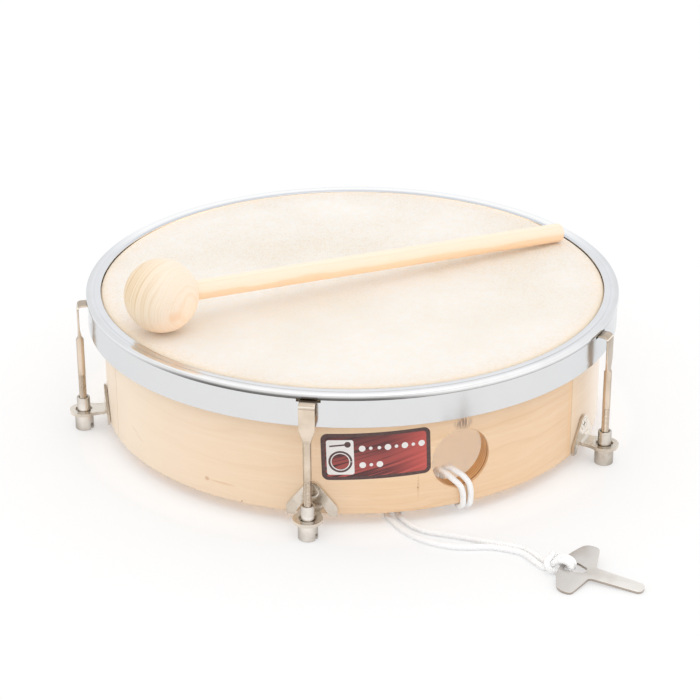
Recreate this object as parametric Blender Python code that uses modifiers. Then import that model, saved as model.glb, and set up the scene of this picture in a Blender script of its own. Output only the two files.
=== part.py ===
"""Tuneable hand drum: a bent-wood shell with a skin head, a steel counterhoop held down by five
hook bolts and sleeve nuts, a ball beater lying on the head, and a flat tuning key that hangs on
a doubled cord hitched through the thumb hole. Metres, +Z up, standing on z = 0."""
import math

import bmesh
import bpy
from mathutils import Matrix, Vector

# Fits
fit_gap = 0.0003             # between neighbours that touch or slide on the real drum

# Shell
shell_radius = 0.127         # outer face
shell_wall = 0.009
shell_height = 0.065
bearing_round = 0.002        # round of the top edge that carries the skin
shell_edge_round = 0.0008    # round of the other edges
thumb_hole_radius = 0.0148
thumb_hole_height = 0.0241   # centre above the shell's lower edge
thumb_hole_turn = math.radians(32.3)   # from the front hook towards +X
ring_steps = 60              # facets round the shell and everything that fits it

# Skin and the hoop that it is lapped on
skin_thickness = 0.0006
flesh_hoop_wall = 0.0029
flesh_hoop_height = 0.006
lap_reach = 0.0022           # how far the skin's edge is tucked over the hoop

# Counterhoop
rim_metal = 0.001
rim_flange_inset = 0.0003    # the flange stops this far outside the skin's shoulder
rim_height = 0.0169
rim_bead = 0.0005            # the bead stands out this far from the skirt
rim_bead_height = 0.0028
slit_width = 0.0115

# Hook bolts
hook_count = 5
rod_radius = 0.00195
rod_foot_height = 0.0055     # the rod's lower end above the ground
strap_width = 0.0077
strap_thickness = 0.001
strap_drop = 0.0031          # top of the strap below the top of the counterhoop
strap_bend = 0.0021          # centre line of the upper bend
strap_tail = 0.004           # length of the tail behind the skirt
shoulder_height = 0.050      # where the rod is hammered flat, above the ground
shoulder_taper = 0.0070
strap_lean = 0.0003          # the strap's middle outside the rod's axis
hook_stand_off = 0.0048      # the rod's axis outside the counterhoop's skirt

# Sleeve nuts
nut_length = 0.0176
nut_head_radius = 0.00475
nut_head_height = 0.0086
nut_sleeve_radius = 0.0034
nut_slot_width = 0.002
nut_slot_depth = 0.0035
nut_chamfer = 0.0004
nut_turns = [-22, -63, 80, 10, 50]     # where each nut's slot points, in degrees

# Brackets
plate_thickness = 0.0013
plate_overhang = 0.0004      # the wings reach this far below that edge
plate_half_width = 0.0121
wing_corner_height = 0.0045  # the wings' widest place above the shell's lower edge
wing_inner_half = 0.0086     # half the gap between the wings, at the bottom
plate_slope = 1.28           # rise over run of the plate's sides
tab_rise = 0.0026            # underside of the tab above the shell's lower edge
tab_thickness = 0.0017
tab_half_width = 0.005
eye_radius = 0.0071
eye_hole_radius = nut_sleeve_radius + 0.0008
screw_radius = 0.0015
screw_head_radius = 0.003
screw_length = 0.0075
screw_height = 0.0125        # above the shell's lower edge

# Beater
ball_radius = 0.018
ball_bore_depth = 0.022
ball_inset = 0.01612         # the ball's centre in from the shell's outer face
ball_turn = math.radians(222.843)
stick_radius = 0.0049
stick_end_inset = 0.00549
stick_end_turn = math.radians(33.690)

# Tuning key
key_thickness = 0.0015
key_blade_half = 0.0035
key_neck = 0.0235            # from the blade's tip to the wings
key_length = 0.0385
key_half_span = 0.0175
key_tilt = math.radians(9.5)          # it leans on the cord under one wing
key_tip_from_axis = (0.1552, -0.1654)
key_lift = 0.0001            # its corners above the ground
key_heading = math.radians(-18.7)
key_slot_half = 0.0034
key_slot_start = 0.0275
key_bridge = 0.0016

# Cord
cord_diameter = 0.0028

# Places that follow from the sizes above
shell_base = nut_head_height + fit_gap - tab_rise
shell_top = shell_base + shell_height
shell_inner = shell_radius - shell_wall
head_top = shell_top + fit_gap + skin_thickness
skin_outer = shell_radius + fit_gap + skin_thickness
hoop_inner = skin_outer + fit_gap
hoop_outer = hoop_inner + flesh_hoop_wall
lap_outer = hoop_outer + fit_gap + skin_thickness
tail_inner = lap_outer + fit_gap
skirt_inner = tail_inner + strap_thickness + fit_gap
skirt_outer = skirt_inner + rim_metal
rim_top = head_top + 0.0002
rim_bottom = rim_top - rim_height
flange_under = rim_top - rim_metal
flange_inner = skin_outer - rim_flange_inset
hook_circle = skirt_outer + hook_stand_off
strap_top = rim_top - strap_drop
slit_bottom = strap_top - strap_thickness - fit_gap
slit_top = strap_top + fit_gap
hoop_top = flange_under - 2 * fit_gap - skin_thickness
hoop_bottom = hoop_top - flesh_hoop_height
thumb_hole_z = shell_base + thumb_hole_height
hook_step = 2 * math.pi / hook_count

# The box round the drum is centred on the origin: the front eye reaches further than the back of the rim
front_reach = hook_circle + eye_radius
back_reach = max(skirt_outer + rim_bead, hook_circle * math.cos(hook_step / 2) + eye_radius)
axis_y = (front_reach - back_reach) / 2


# Scene, collections and materials
for old in list(bpy.data.objects):
    bpy.data.objects.remove(old, do_unlink=True)

parts = bpy.data.collections.new("hand_drum")
cutters = bpy.data.collections.new("cutters")
for collection in (parts, cutters):
    bpy.context.scene.collection.children.link(collection)
cutters.hide_render = True

drum_axis = bpy.data.objects.new("drum_axis", None)
drum_axis.location = (0, axis_y, 0)
parts.objects.link(drum_axis)


def material(name, colour, roughness, metallic=0.0):
    made = bpy.data.materials.new(name)
    made.use_nodes = True
    shader = made.node_tree.nodes["Principled BSDF"]
    shader.inputs["Base Color"].default_value = (*colour, 1)
    shader.inputs["Roughness"].default_value = roughness
    shader.inputs["Metallic"].default_value = metallic
    return made


shell_wood = material("shell_wood", (0.85, 0.62, 0.40), 0.5)
beater_wood = material("beater_wood", (0.90, 0.72, 0.48), 0.45)
skin = material("skin", (0.92, 0.87, 0.76), 0.6)
hoop_steel = material("hoop_steel", (0.55, 0.56, 0.58), 0.4, 1.0)
chrome = material("chrome", (0.80, 0.81, 0.83), 0.2, 1.0)
nickel = material("nickel", (0.72, 0.68, 0.62), 0.3, 1.0)
white_cord = material("white_cord", (0.9, 0.9, 0.88), 0.8)


# Tools shared by the pieces
def rounded(corners, arc_step=30):
    """A closed outline from (x, y, fillet radius) corners, each fillet an arc of short chords."""
    points = []
    for i, (x, y, radius) in enumerate(corners):
        here = Vector((x, y))
        before = Vector(corners[i - 1][:2]) - here
        after = Vector(corners[(i + 1) % len(corners)][:2]) - here
        turn = math.pi - before.angle(after)
        if radius <= 0 or turn < 0.02:
            points.append(here)
            continue
        reach = radius * math.tan(turn / 2)
        reach = min(reach, 0.49 * before.length, 0.49 * after.length)
        bend = reach / math.tan(turn / 2)
        start = here + before.normalized() * reach
        middle = before.normalized() + after.normalized()
        centre = here + middle.normalized() * math.hypot(reach, bend)
        arm = start - centre
        side = 1 if before.x * after.y - before.y * after.x < 0 else -1
        count = max(1, round(math.degrees(turn) / arc_step))
        for k in range(count + 1):
            angle = side * turn * k / count
            points.append(centre + Vector((arm.x * math.cos(angle) - arm.y * math.sin(angle),
                                           arm.x * math.sin(angle) + arm.y * math.cos(angle))))
    return points


def shade(mesh, sharp=35):
    mesh.shade_smooth()
    mesh.set_sharp_from_angle(angle=math.radians(sharp))


def add_piece(name, mesh, surface, place=(0, 0, 0), turn=0.0, collection=parts):
    """An object on the drum's axis frame, with its own material."""
    if surface is not None and not mesh.materials:
        mesh.materials.append(surface)
    piece = bpy.data.objects.new(name, mesh)
    piece.parent = drum_axis
    piece.location = place
    piece.rotation_euler = (0, 0, turn)
    collection.objects.link(piece)
    if collection is cutters:
        piece.hide_render = True
        piece.display_type = "WIRE"
    return piece


def turned(name, profile, surface, steps, closed=True, **where):
    """A turned piece: a profile that runs down its outer side, spun about Z with a Screw modifier."""
    mesh = bpy.data.meshes.new(name)
    edges = [(i, i + 1) for i in range(len(profile) - 1)]
    if closed:
        edges.append((len(profile) - 1, 0))
    mesh.from_pydata([(x, 0, z) for x, z in profile], edges, [])
    piece = add_piece(name, mesh, surface, **where)
    spin = piece.modifiers.new("spin", "SCREW")
    spin.angle = 2 * math.pi
    spin.steps = steps
    spin.render_steps = steps
    spin.use_merge_vertices = True
    spin.merge_threshold = 0.00001
    spin.use_smooth_shade = True
    return piece


def evaluated(piece):
    """The mesh that an object's curve or modifiers make, in its own frame, with doubles merged."""
    bpy.context.view_layer.update()
    graph = bpy.context.evaluated_depsgraph_get()
    mesh = bpy.data.meshes.new_from_object(piece.evaluated_get(graph))
    shape = bmesh.new()
    shape.from_mesh(mesh)
    bmesh.ops.remove_doubles(shape, verts=shape.verts, dist=0.000002)
    bmesh.ops.recalc_face_normals(shape, faces=shape.faces)
    shape.to_mesh(mesh)
    shape.free()
    bpy.data.objects.remove(piece, do_unlink=True)
    return mesh


def plate(name, outline, low, high, surface=None, upright=False, **where):
    """A flat outline given a thickness: in X and Y from low to high Z, or upright in X and Z."""
    line = bpy.data.curves.new(name, "CURVE")
    line.dimensions = "2D"
    line.fill_mode = "BOTH"
    line.extrude = (high - low) / 2
    spline = line.splines.new("POLY")
    spline.points.add(len(outline) - 1)
    for point, (x, y) in zip(spline.points, outline):
        point.co = (x, y, 0, 1)
    spline.use_cyclic_u = True
    sketch = bpy.data.objects.new(name, line)
    parts.objects.link(sketch)
    mesh = evaluated(sketch)
    mesh.transform(Matrix.Translation((0, 0, (low + high) / 2)))
    if upright:
        mesh.transform(Matrix.Rotation(math.pi / 2, 4, "X"))
    mesh.materials.clear()
    return add_piece(name, mesh, surface, **where)


def rod(name, radius, low, high, steps, surface=None, top_radius=None, **where):
    """A round bar along Z, or a cone where it has a second radius."""
    shape = bmesh.new()
    bmesh.ops.create_cone(shape, cap_ends=True, segments=steps, radius1=radius,
                          radius2=radius if top_radius is None else top_radius, depth=high - low)
    bmesh.ops.translate(shape, verts=shape.verts, vec=(0, 0, (low + high) / 2))
    mesh = bpy.data.meshes.new(name)
    shape.to_mesh(mesh)
    shape.free()
    return add_piece(name, mesh, surface, **where)


def cut(piece, cutter, kind="DIFFERENCE"):
    tool = piece.modifiers.new(cutter.name, "BOOLEAN")
    tool.operation = kind
    tool.object = cutter
    tool.solver = "EXACT"


def settled(piece):
    """The finished mesh of a piece that was joined or cut, to be shared by its copies."""
    mesh = evaluated(piece)
    shade(mesh)
    return mesh


def round_the_drum(name, mesh, surface, spins=None):
    """One copy of a piece at each hook, its origin on the rod's axis."""
    for i in range(hook_count):
        turn = i * hook_step
        spin = math.radians(spins[i % len(spins)]) if spins else 0.0
        add_piece(f"{name}_{i + 1}", mesh, surface,
                  place=(hook_circle * math.sin(turn), -hook_circle * math.cos(turn), 0), turn=turn + spin)


# Shell: a ring of bent wood with a round bearing edge, a thumb hole and pilot holes for the screws
shell = turned("shell", rounded([
    (shell_radius, shell_top, bearing_round), (shell_radius, shell_base, shell_edge_round),
    (shell_inner, shell_base, shell_edge_round), (shell_inner, shell_top, shell_edge_round)], 45),
    shell_wood, ring_steps)
hole_way = Matrix.Rotation(thumb_hole_turn, 4, "Z") @ Matrix.Rotation(math.pi / 2, 4, "X")
thumb_cutter = rod("thumb_hole_cutter", thumb_hole_radius, shell_inner - shell_wall, shell_radius + shell_wall,
                   40, collection=cutters)
thumb_cutter.matrix_local = Matrix.Translation((0, 0, thumb_hole_z)) @ hole_way
cut(shell, thumb_cutter)
pilot_tip = shell_radius + fit_gap + plate_thickness - screw_length - fit_gap
for i in range(hook_count):
    pilot = rod(f"pilot_cutter_{i + 1}", screw_radius + fit_gap, pilot_tip, shell_radius + shell_wall, 10,
                collection=cutters)
    pilot.matrix_local = (Matrix.Translation((0, 0, shell_base + screw_height))
                          @ Matrix.Rotation(i * hook_step, 4, "Z") @ Matrix.Rotation(math.pi / 2, 4, "X"))
    cut(shell, pilot)

# Flesh hoop: a flat steel ring just outside the shell, which the skin is lapped on
turned("flesh_hoop", rounded([
    (hoop_outer, hoop_top, 0.0008), (hoop_outer, hoop_bottom, 0.0008),
    (hoop_inner, hoop_bottom, 0.0008), (hoop_inner, hoop_top, 0.0008)], 90), hoop_steel, ring_steps)

# Head: the skin over the bearing edge, down inside the flesh hoop, round it and back over its top
lap_bottom = hoop_bottom - fit_gap - skin_thickness
lap_top = hoop_top + fit_gap + skin_thickness
lap_edge = hoop_outer - lap_reach
shoulder = bearing_round + fit_gap + skin_thickness
over = [(0, head_top, 0), (skin_outer, head_top, shoulder), (skin_outer, hoop_bottom - fit_gap, 0),
        (hoop_outer + fit_gap, hoop_bottom - fit_gap, 0), (hoop_outer + fit_gap, hoop_top + fit_gap, 0),
        (lap_edge, hoop_top + fit_gap, 0), (lap_edge, lap_top, 0), (lap_outer, lap_top, 0.0006),
        (lap_outer, lap_bottom, 0.0006), (shell_radius + fit_gap, lap_bottom, 0.0006),
        (shell_radius + fit_gap, head_top - skin_thickness, bearing_round + fit_gap),
        (0, head_top - skin_thickness, 0)]
head_profile = rounded(over, 45)
head = turned("drum_head", head_profile, skin, ring_steps, closed=False)

# Counterhoop: a rolled steel section with a flange, a bead at its shoulder and a plain skirt
bead_outer = skirt_outer + rim_bead
bead_low = rim_top - rim_bead_height
rim_profile = rounded([
    (flange_inner, rim_top, 0.0004), (bead_outer, rim_top, 0.0021), (bead_outer, bead_low + rim_bead, 0.0004),
    (skirt_outer, bead_low, 0), (skirt_outer, rim_bottom, 0.0003), (skirt_inner, rim_bottom, 0.0003),
    (skirt_inner, flange_under, 0.0012), (flange_inner, flange_under, 0.0004)], 45)
rim = turned("counterhoop", rim_profile, chrome, ring_steps)
for i in range(hook_count):
    slit = plate(f"slit_cutter_{i + 1}",
                 [(-slit_width / 2, -bead_outer - 0.002), (slit_width / 2, -bead_outer - 0.002),
                  (slit_width / 2, -skirt_inner + 0.001), (-slit_width / 2, -skirt_inner + 0.001)],
                 slit_bottom, slit_top, turn=i * hook_step, collection=cutters)
    cut(rim, slit)


# Hook bolts: a rod whose upper end is hammered flat, bent over and hooked down through the slit
def hook_mesh():
    """Sections along the bolt's centre line, from a round rod to a flat strap, lofted into one skin."""
    strap_out = strap_lean
    strap_mid = strap_top - strap_thickness / 2
    tail_out = (tail_inner + strap_thickness / 2) - hook_circle
    tail_bend = strap_thickness / 2 + 0.0004
    flat = (strap_width / 2, strap_thickness / 2, 0.25)
    round_bar = (rod_radius, rod_radius, 1.0)
    stations = [((0, rod_foot_height), 90, (rod_radius * 0.8, rod_radius * 0.8, 1.0)),
                ((0, rod_foot_height + 0.0005), 90, round_bar),
                ((0, shoulder_height - 0.0005), 90, round_bar),
                ((strap_out * 0.5, shoulder_height + 0.0010), 90, (rod_radius * 1.15, strap_thickness * 1.05, 0.6)),
                ((strap_out * 0.5, shoulder_height + 0.0030), 90, (strap_width * 0.40, strap_thickness * 0.85, 0.4)),
                ((strap_out, shoulder_height + shoulder_taper), 90, flat)]
    for angle in (0, 30, 60, 90):
        a = math.radians(angle)
        stations.append(((strap_out - strap_bend * (1 - math.cos(a)),
                          strap_mid - strap_bend * (1 - math.sin(a))), 90 + angle, flat))
    for angle in (0, 45, 90):
        a = math.radians(angle)
        stations.append(((tail_out + tail_bend * (1 - math.sin(a)),
                          strap_mid - tail_bend * (1 - math.cos(a))), 180 + angle, flat))
    stations.append(((tail_out, strap_mid - strap_tail), 270, flat))
    corners = 12
    shape = bmesh.new()
    rings = []
    for (out, z), heading, (half_width, half_depth, power) in stations:
        h = math.radians(heading)
        across = Vector((0, -math.sin(h), -math.cos(h)))
        ring = []
        for k in range(corners):
            t = 2 * math.pi * (k + 0.5) / corners
            c, s = math.cos(t), math.sin(t)
            x = half_width * math.copysign(abs(c) ** power, c)
            d = half_depth * math.copysign(abs(s) ** power, s)
            ring.append(shape.verts.new(Vector((x, -out, z)) + across * d))
        rings.append(ring)
    for low, high in zip(rings, rings[1:]):
        for k in range(corners):
            n = (k + 1) % corners
            shape.faces.new((low[k], low[n], high[n], high[k]))
    shape.faces.new(list(reversed(rings[0])))
    shape.faces.new(rings[-1])
    bmesh.ops.recalc_face_normals(shape, faces=shape.faces)
    mesh = bpy.data.meshes.new("tension_hook")
    shape.to_mesh(mesh)
    shape.free()
    shade(mesh)
    return mesh


round_the_drum("tension_hook", hook_mesh(), nickel)

# Sleeve nuts: a sleeve that runs up through the bracket's eye, and a head below it with a key slot
bore = rod_radius + fit_gap
nut_blank = turned("nut_blank", [
    (nut_sleeve_radius - nut_chamfer, nut_length), (nut_sleeve_radius, nut_length - nut_chamfer),
    (nut_sleeve_radius, nut_head_height), (nut_head_radius - nut_chamfer, nut_head_height),
    (nut_head_radius, nut_head_height - nut_chamfer), (nut_head_radius, nut_chamfer),
    (nut_head_radius - nut_chamfer, 0), (bore, 0), (bore, nut_length)], nickel, 20)
slot_cutter = plate("slot_cutter", [
    (-2 * nut_head_radius, -nut_slot_width / 2), (2 * nut_head_radius, -nut_slot_width / 2),
    (2 * nut_head_radius, nut_slot_width / 2), (-2 * nut_head_radius, nut_slot_width / 2)],
    -0.001, nut_slot_depth, collection=cutters)
cut(nut_blank, slot_cutter)
round_the_drum("tension_nut", settled(nut_blank), nickel, nut_turns)


# Brackets: an arrowhead plate curved to the shell, with a tab bent out of its foot into an eye
def bracket_mesh():
    """Made in the hook's own frame: Y = 0 is the rod's axis and the shell lies towards +Y."""
    plate_in = hook_circle - shell_radius - fit_gap
    plate_out = plate_in - plate_thickness
    low = shell_base - plate_overhang
    side_foot = shell_base + wing_corner_height
    apex = side_foot + plate_half_width * plate_slope
    root_top = shell_base + tab_rise + tab_thickness
    root_half = tab_half_width + 0.0003
    half = [(wing_inner_half, low, 0.0004), (plate_half_width, low, 0.0006), (plate_half_width, side_foot, 0.0025)]
    corners = [(-x, z, r) for x, z, r in half]
    corners.append((0, apex, 0.0045))
    corners += [(x, z, r) for x, z, r in reversed(half)]
    corners += [(root_half, root_top + 0.0003, 0.0004), (-root_half, root_top + 0.0003, 0.0004)]
    outline = rounded(corners)
    sheet = plate("bracket_blank", outline, -plate_thickness, 0, nickel, upright=True)
    shape = bmesh.new()
    shape.from_mesh(sheet.data)
    for x in (-0.0066, -0.0022, 0.0022, 0.0066):
        geom = shape.verts[:] + shape.edges[:] + shape.faces[:]
        bmesh.ops.bisect_plane(shape, geom=geom, plane_co=(x, 0, 0), plane_no=(1, 0, 0))
    inner_radius = shell_radius + fit_gap
    for v in shape.verts:
        radius = inner_radius + (plate_thickness - v.co.y)
        angle = v.co.x / inner_radius
        v.co = Vector((radius * math.sin(angle), hook_circle - radius * math.cos(angle), v.co.z))
    shape.to_mesh(sheet.data)
    shape.free()
    under = shell_base + tab_rise
    over_tab = under + tab_thickness
    bend = 0.0012
    side = rounded([(plate_in - 0.0002, under, tab_thickness + bend), (plate_in - 0.0002, over_tab + 0.003, 0),
                    (plate_out - 0.0001, over_tab + 0.003, 0), (plate_out - 0.0001, over_tab, bend),
                    (0.5 * eye_radius, over_tab, 0), (0.5 * eye_radius, under, 0)])
    root = plate("tab_root", side, -tab_half_width, tab_half_width, collection=cutters)
    root.data.transform(Matrix(((0, 0, 1, 0), (1, 0, 0, 0), (0, 1, 0, 0), (0, 0, 0, 1))))
    flare_half = 0.0058
    neck_out = math.sqrt(eye_radius ** 2 - flare_half ** 2)
    eye_outline = [Vector((eye_radius * math.cos(math.radians(a)), eye_radius * math.sin(math.radians(a))))
                   for a in range(145, 396, 15)]
    eye_outline += [Vector((tab_half_width, neck_out + 0.0035)), Vector((-tab_half_width, neck_out + 0.0035))]
    eye = plate("eye_blank", eye_outline, under, over_tab, collection=cutters)
    hole = rod("eye_hole", eye_hole_radius, under - 0.001, over_tab + 0.001, 20, collection=cutters)
    screw_hole = rod("plate_hole", screw_radius + fit_gap, -0.01, 0.01, 10, collection=cutters)
    screw_hole.data.transform(Matrix.Translation((0, plate_out, shell_base + screw_height))
                              @ Matrix.Rotation(-math.pi / 2, 4, "X"))
    seat = rod("plate_countersink", screw_head_radius + 4 * fit_gap, -fit_gap, plate_thickness, 14,
               top_radius=screw_radius + fit_gap, collection=cutters)
    seat.data.transform(Matrix.Translation((0, plate_out, shell_base + screw_height))
                        @ Matrix.Rotation(-math.pi / 2, 4, "X"))
    cut(sheet, root, "UNION")
    cut(sheet, eye, "UNION")
    for cutter in (hole, screw_hole, seat):
        cut(sheet, cutter)
    mesh = settled(sheet)
    for cutter in (root, eye, hole, screw_hole, seat):
        bpy.data.objects.remove(cutter, do_unlink=True)
    return mesh


round_the_drum("bracket", bracket_mesh(), nickel)


# Bracket screws: one countersunk wood screw through each plate, hidden behind the rod
screw_blank = turned("screw_blank", [
    (0, 0), (screw_head_radius, 0), (screw_head_radius, -0.0002),
    (screw_radius, -(screw_head_radius - screw_radius) * 0.75),
    (screw_radius, -(screw_length - 0.0015)), (0.0004, -screw_length), (0, -screw_length)],
    nickel, 10, closed=False)
screw_mesh = settled(screw_blank)
screw_mesh.transform(Matrix.Translation((0, hook_circle - shell_radius - fit_gap - plate_thickness,
                                         shell_base + screw_height)) @ Matrix.Rotation(math.pi / 2, 4, "X"))
round_the_drum("bracket_screw", screw_mesh, nickel)

# Beater: a turned ball bored for a dowel, which leans from the ball's height down to the head
def on_the_head(inset, turn, z):
    """A place above the head, in from the shell's outer face, turned from +X."""
    radius = shell_radius - inset
    return Vector((radius * math.cos(turn), radius * math.sin(turn), head_top + fit_gap + z))


ball_centre = on_the_head(ball_inset, ball_turn, ball_radius)
stick_end = on_the_head(stick_end_inset, stick_end_turn, stick_radius)
beater_way = (Matrix.Translation(ball_centre)
              @ (stick_end - ball_centre).to_track_quat("Z", "Y").to_matrix().to_4x4())
stick_length = (stick_end - ball_centre).length
stick_root = ball_radius - ball_bore_depth

ball_shape = bmesh.new()
bmesh.ops.create_uvsphere(ball_shape, u_segments=24, v_segments=16, radius=ball_radius)
ball_data = bpy.data.meshes.new("beater_ball")
ball_shape.to_mesh(ball_data)
ball_shape.free()
shade(ball_data)
ball = add_piece("beater_ball", ball_data, beater_wood)
ball.matrix_local = beater_way
bore_cutter = rod("ball_bore_cutter", stick_radius + fit_gap, stick_root - fit_gap, 2 * ball_radius, 20,
                  collection=cutters)
bore_cutter.matrix_local = beater_way
cut(ball, bore_cutter)

stick = turned("beater_stick", rounded([
    (0, stick_length, 0), (stick_radius, stick_length, 0.0016), (stick_radius, stick_root, 0.0005),
    (0, stick_root, 0)]), beater_wood, 20, closed=False)
stick.matrix_local = beater_way

# Tuning key: a flat winged key. Its own X runs from the wings to the tip of the blade at the origin
half_key = [(-key_neck - 0.0002, key_blade_half + 0.0004, 0.0034), (-key_neck - 0.0030, key_half_span * 0.62, 0),
            (-key_neck - 0.0018, key_half_span, 0.0024), (-key_neck - 0.0102, key_half_span, 0.0055),
            (-key_length + 0.0002, key_half_span * 0.42, 0.010)]
key_corners = [(0.001, -key_blade_half * 0.85, 0.0025), (0.001, key_blade_half * 0.85, 0.0025)]
key_corners += half_key
key_corners += [(x, -y, r) for x, y, r in reversed(half_key)]
key_blank = plate("key_blank", rounded(key_corners), 0, key_thickness, nickel)
slot_end = -key_length + key_bridge
key_slot = plate("key_slot_cutter", rounded([
    (-key_slot_start, -key_slot_half * 0.35, 0.001), (-key_slot_start, key_slot_half * 0.35, 0.001),
    (-key_slot_start - 0.004, key_slot_half, 0.003), (slot_end, key_slot_half, 0.0015),
    (slot_end, -key_slot_half, 0.0015), (-key_slot_start - 0.004, -key_slot_half, 0.003)]),
    -0.001, key_thickness + 0.001, collection=cutters)
cut(key_blank, key_slot)
key_rest = Vector((key_neck + 0.0055, key_half_span - key_blade_half, 0)).normalized()
key_corner = Vector((0, -key_blade_half * 0.85, 0))
key_way = (Matrix.Translation((*key_tip_from_axis, key_lift)) @ Matrix.Rotation(key_heading, 4, "Z")
           @ Matrix.Translation(key_corner) @ Matrix.Rotation(key_tilt, 4, key_rest) @ Matrix.Translation(-key_corner))
key = add_piece("tuning_key", settled(key_blank), nickel)
key.matrix_local = key_way


# Cord: two strands of one loop, hitched round the shell's foot through the thumb hole and tied to the key
def by_the_hole(along, out, z):
    """A place near the thumb hole in mm: along the wall, out from its outer face, above the ground."""
    angle = thumb_hole_turn + along / 1000 / shell_radius
    radius = shell_radius + out / 1000
    return Vector((radius * math.sin(angle), -radius * math.cos(angle), z / 1000))


def on_the_ground(x, y):
    """A place in mm from the drum's axis where the cord lies on the ground."""
    return Vector((x / 1000, y / 1000, cord_diameter / 2 + 0.0001))


def at_the_key(u, v, w):
    """A place in mm in the key's own frame laid flat: along it, across it, above the ground."""
    turn = Matrix.Rotation(key_heading, 4, "Z")
    return turn @ Vector((u / 1000, v / 1000, w / 1000)) + Vector((*key_tip_from_axis, 0))


def smooth(route, per_span=6):
    """Points on a Catmull-Rom curve through the route's own points."""
    points = []
    ends = [2 * route[0] - route[1]] + route + [2 * route[-1] - route[-2]]
    for a, b, c, d in zip(ends, ends[1:], ends[2:], ends[3:]):
        for k in range(per_span):
            t = k / per_span
            points.append(0.5 * (2 * b + (c - a) * t + (2 * a - 5 * b + 4 * c - d) * t ** 2
                                 + (3 * b - a - 3 * c + d) * t ** 3))
    points.append(route[-1])
    return points


def thinned(points, longest, most_turn):
    """Drops points while the cord stays nearly straight, so that bends keep their points."""
    kept = [points[0]]
    for before, here, after in zip(points, points[1:], points[2:]):
        reach = (here - kept[-1]).length
        way = (points[1] - points[0]) if len(kept) == 1 else heading
        if reach > longest or (reach > 0.0011 and way.angle(after - here) > most_turn):
            kept.append(here)
            heading = after - here
        elif len(kept) == 1:
            heading = way
    kept.append(points[-1])
    return kept


def cord(name, route):
    line = bpy.data.curves.new(name, "CURVE")
    line.dimensions = "3D"
    line.bevel_depth = cord_diameter / 2
    line.bevel_resolution = 2
    line.use_fill_caps = True
    points = thinned(smooth(route), 2.6 * cord_diameter, math.radians(24))
    spline = line.splines.new("POLY")
    spline.points.add(len(points) - 1)
    for point, place in zip(spline.points, points):
        point.co = (*place, 1)
    line.materials.append(white_cord)
    strand = bpy.data.objects.new(name, line)
    strand.parent = drum_axis
    parts.objects.link(strand)


near_route = [by_the_hole(*p) for p in (
    (1.7, -21.8, 1.6), (3.2, -21.8, 1.6), (5.9, -20.8, 1.6), (6.4, -18.4, 1.6), (4.0, -16.4, 1.6), (0.2, -14.9, 1.6),
    (-3.4, -13.3, 1.9), (-5.0, -11.3, 4.2), (-5.4, -10.8, 8.0), (-5.4, -10.8, 13.0), (-5.1, -10.8, 17.4),
    (-4.3, -9.8, 21.2), (-2.6, -6.8, 22.6), (-0.2, -3.4, 21.6), (2.0, -0.8, 19.8), (3.5, 1.2, 17.2),
    (4.3, 1.7, 13.4), (4.4, 1.7, 9.5), (4.1, 1.5, 6.2), (3.6, -0.8, 4.4), (3.6, -5.0, 4.4),
    (4.1, -9.5, 4.5), (2.6, -14.2, 4.7), (-2.0, -17.7, 4.9), (-7.0, -19.4, 4.9), (-11.8, -20.0, 3.4),
    (-16.5, -19.9, 1.7), (-22.5, -18.7, 1.6), (-29.0, -15.4, 1.6), (-33.6, -11.0, 1.6))]
near_route += [on_the_ground(*p) for p in (
    (33.6, -115.0), (37.6, -121.2), (42.2, -127.4), (48.5, -133.0), (55.0, -136.9), (61.5, -139.2),
    (68.0, -140.3), (74.5, -139.9), (81.0, -138.6), (87.5, -138.2), (94.5, -139.5), (101.0, -142.4))]
far_route = [by_the_hole(*p) for p in (
    (1.1, -21.8, 1.6), (-0.4, -21.8, 1.6), (-4.2, -20.4, 1.6), (-6.7, -17.0, 1.6), (-7.8, -13.4, 2.9),
    (-8.6, -11.1, 7.0), (-8.9, -10.8, 13.0), (-8.8, -10.8, 18.6), (-8.2, -9.3, 21.6), (-7.0, -6.4, 22.0),
    (-5.0, -3.2, 20.6), (-3.0, -0.7, 18.9), (-1.0, 1.2, 16.6), (0.1, 1.7, 13.2), (0.5, 1.7, 9.4),
    (0.3, 1.5, 6.2), (-0.2, -0.8, 4.4), (0.1, -5.0, 4.4), (0.2, -9.2, 4.7), (-1.2, -12.9, 5.2),
    (-5.0, -15.2, 5.4), (-9.4, -16.2, 4.9), (-13.8, -16.3, 2.4), (-18.0, -15.9, 1.6), (-22.5, -14.6, 1.6),
    (-26.5, -12.0, 1.6), (-29.4, -8.6, 1.6))]
far_route += [on_the_ground(*p) for p in (
    (39.0, -114.2), (42.8, -119.6), (47.4, -124.4), (53.5, -127.8), (60.5, -129.2), (68.0, -130.2),
    (76.0, -132.0), (83.0, -133.8), (90.0, -134.8), (96.4, -136.2), (102.6, -138.8))]


def knot(side):
    """One strand's way over the key's bridge, down the slot, back under it and across both strands."""
    return [at_the_key(u, v * side, w) for u, v, w in (
        (-47.0, 2.2, 1.5), (-44.0, 1.6, 2.2), (-41.6, 1.6, 4.5), (-39.4, 1.6, 6.4), (-36.6, 1.6, 6.9),
        (-34.2, 1.6, 6.1), (-33.2, 1.6, 4.2), (-34.2, 1.65, 2.3), (-36.6, 1.75, 1.45), (-39.4, 3.7, 1.5),
        (-42.0, 5.0, 2.6), (-43.6, 4.9, 4.8), (-44.3, 3.2, 5.9), (-44.4, 1.8, 5.9), (-44.4, 0.4, 5.9))]


cord("cord_near", near_route + knot(-1))
cord("cord_far", far_route + knot(1))
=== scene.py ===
"""A tuneable hand drum on a white table: bent-wood shell, skin head, plated counterhoop with five
hook bolts, a turned wooden beater on the head, and a stamped key tied to a doubled white cord."""
import math

import bmesh
import bpy
from mathutils import Matrix, Vector, noise


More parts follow.
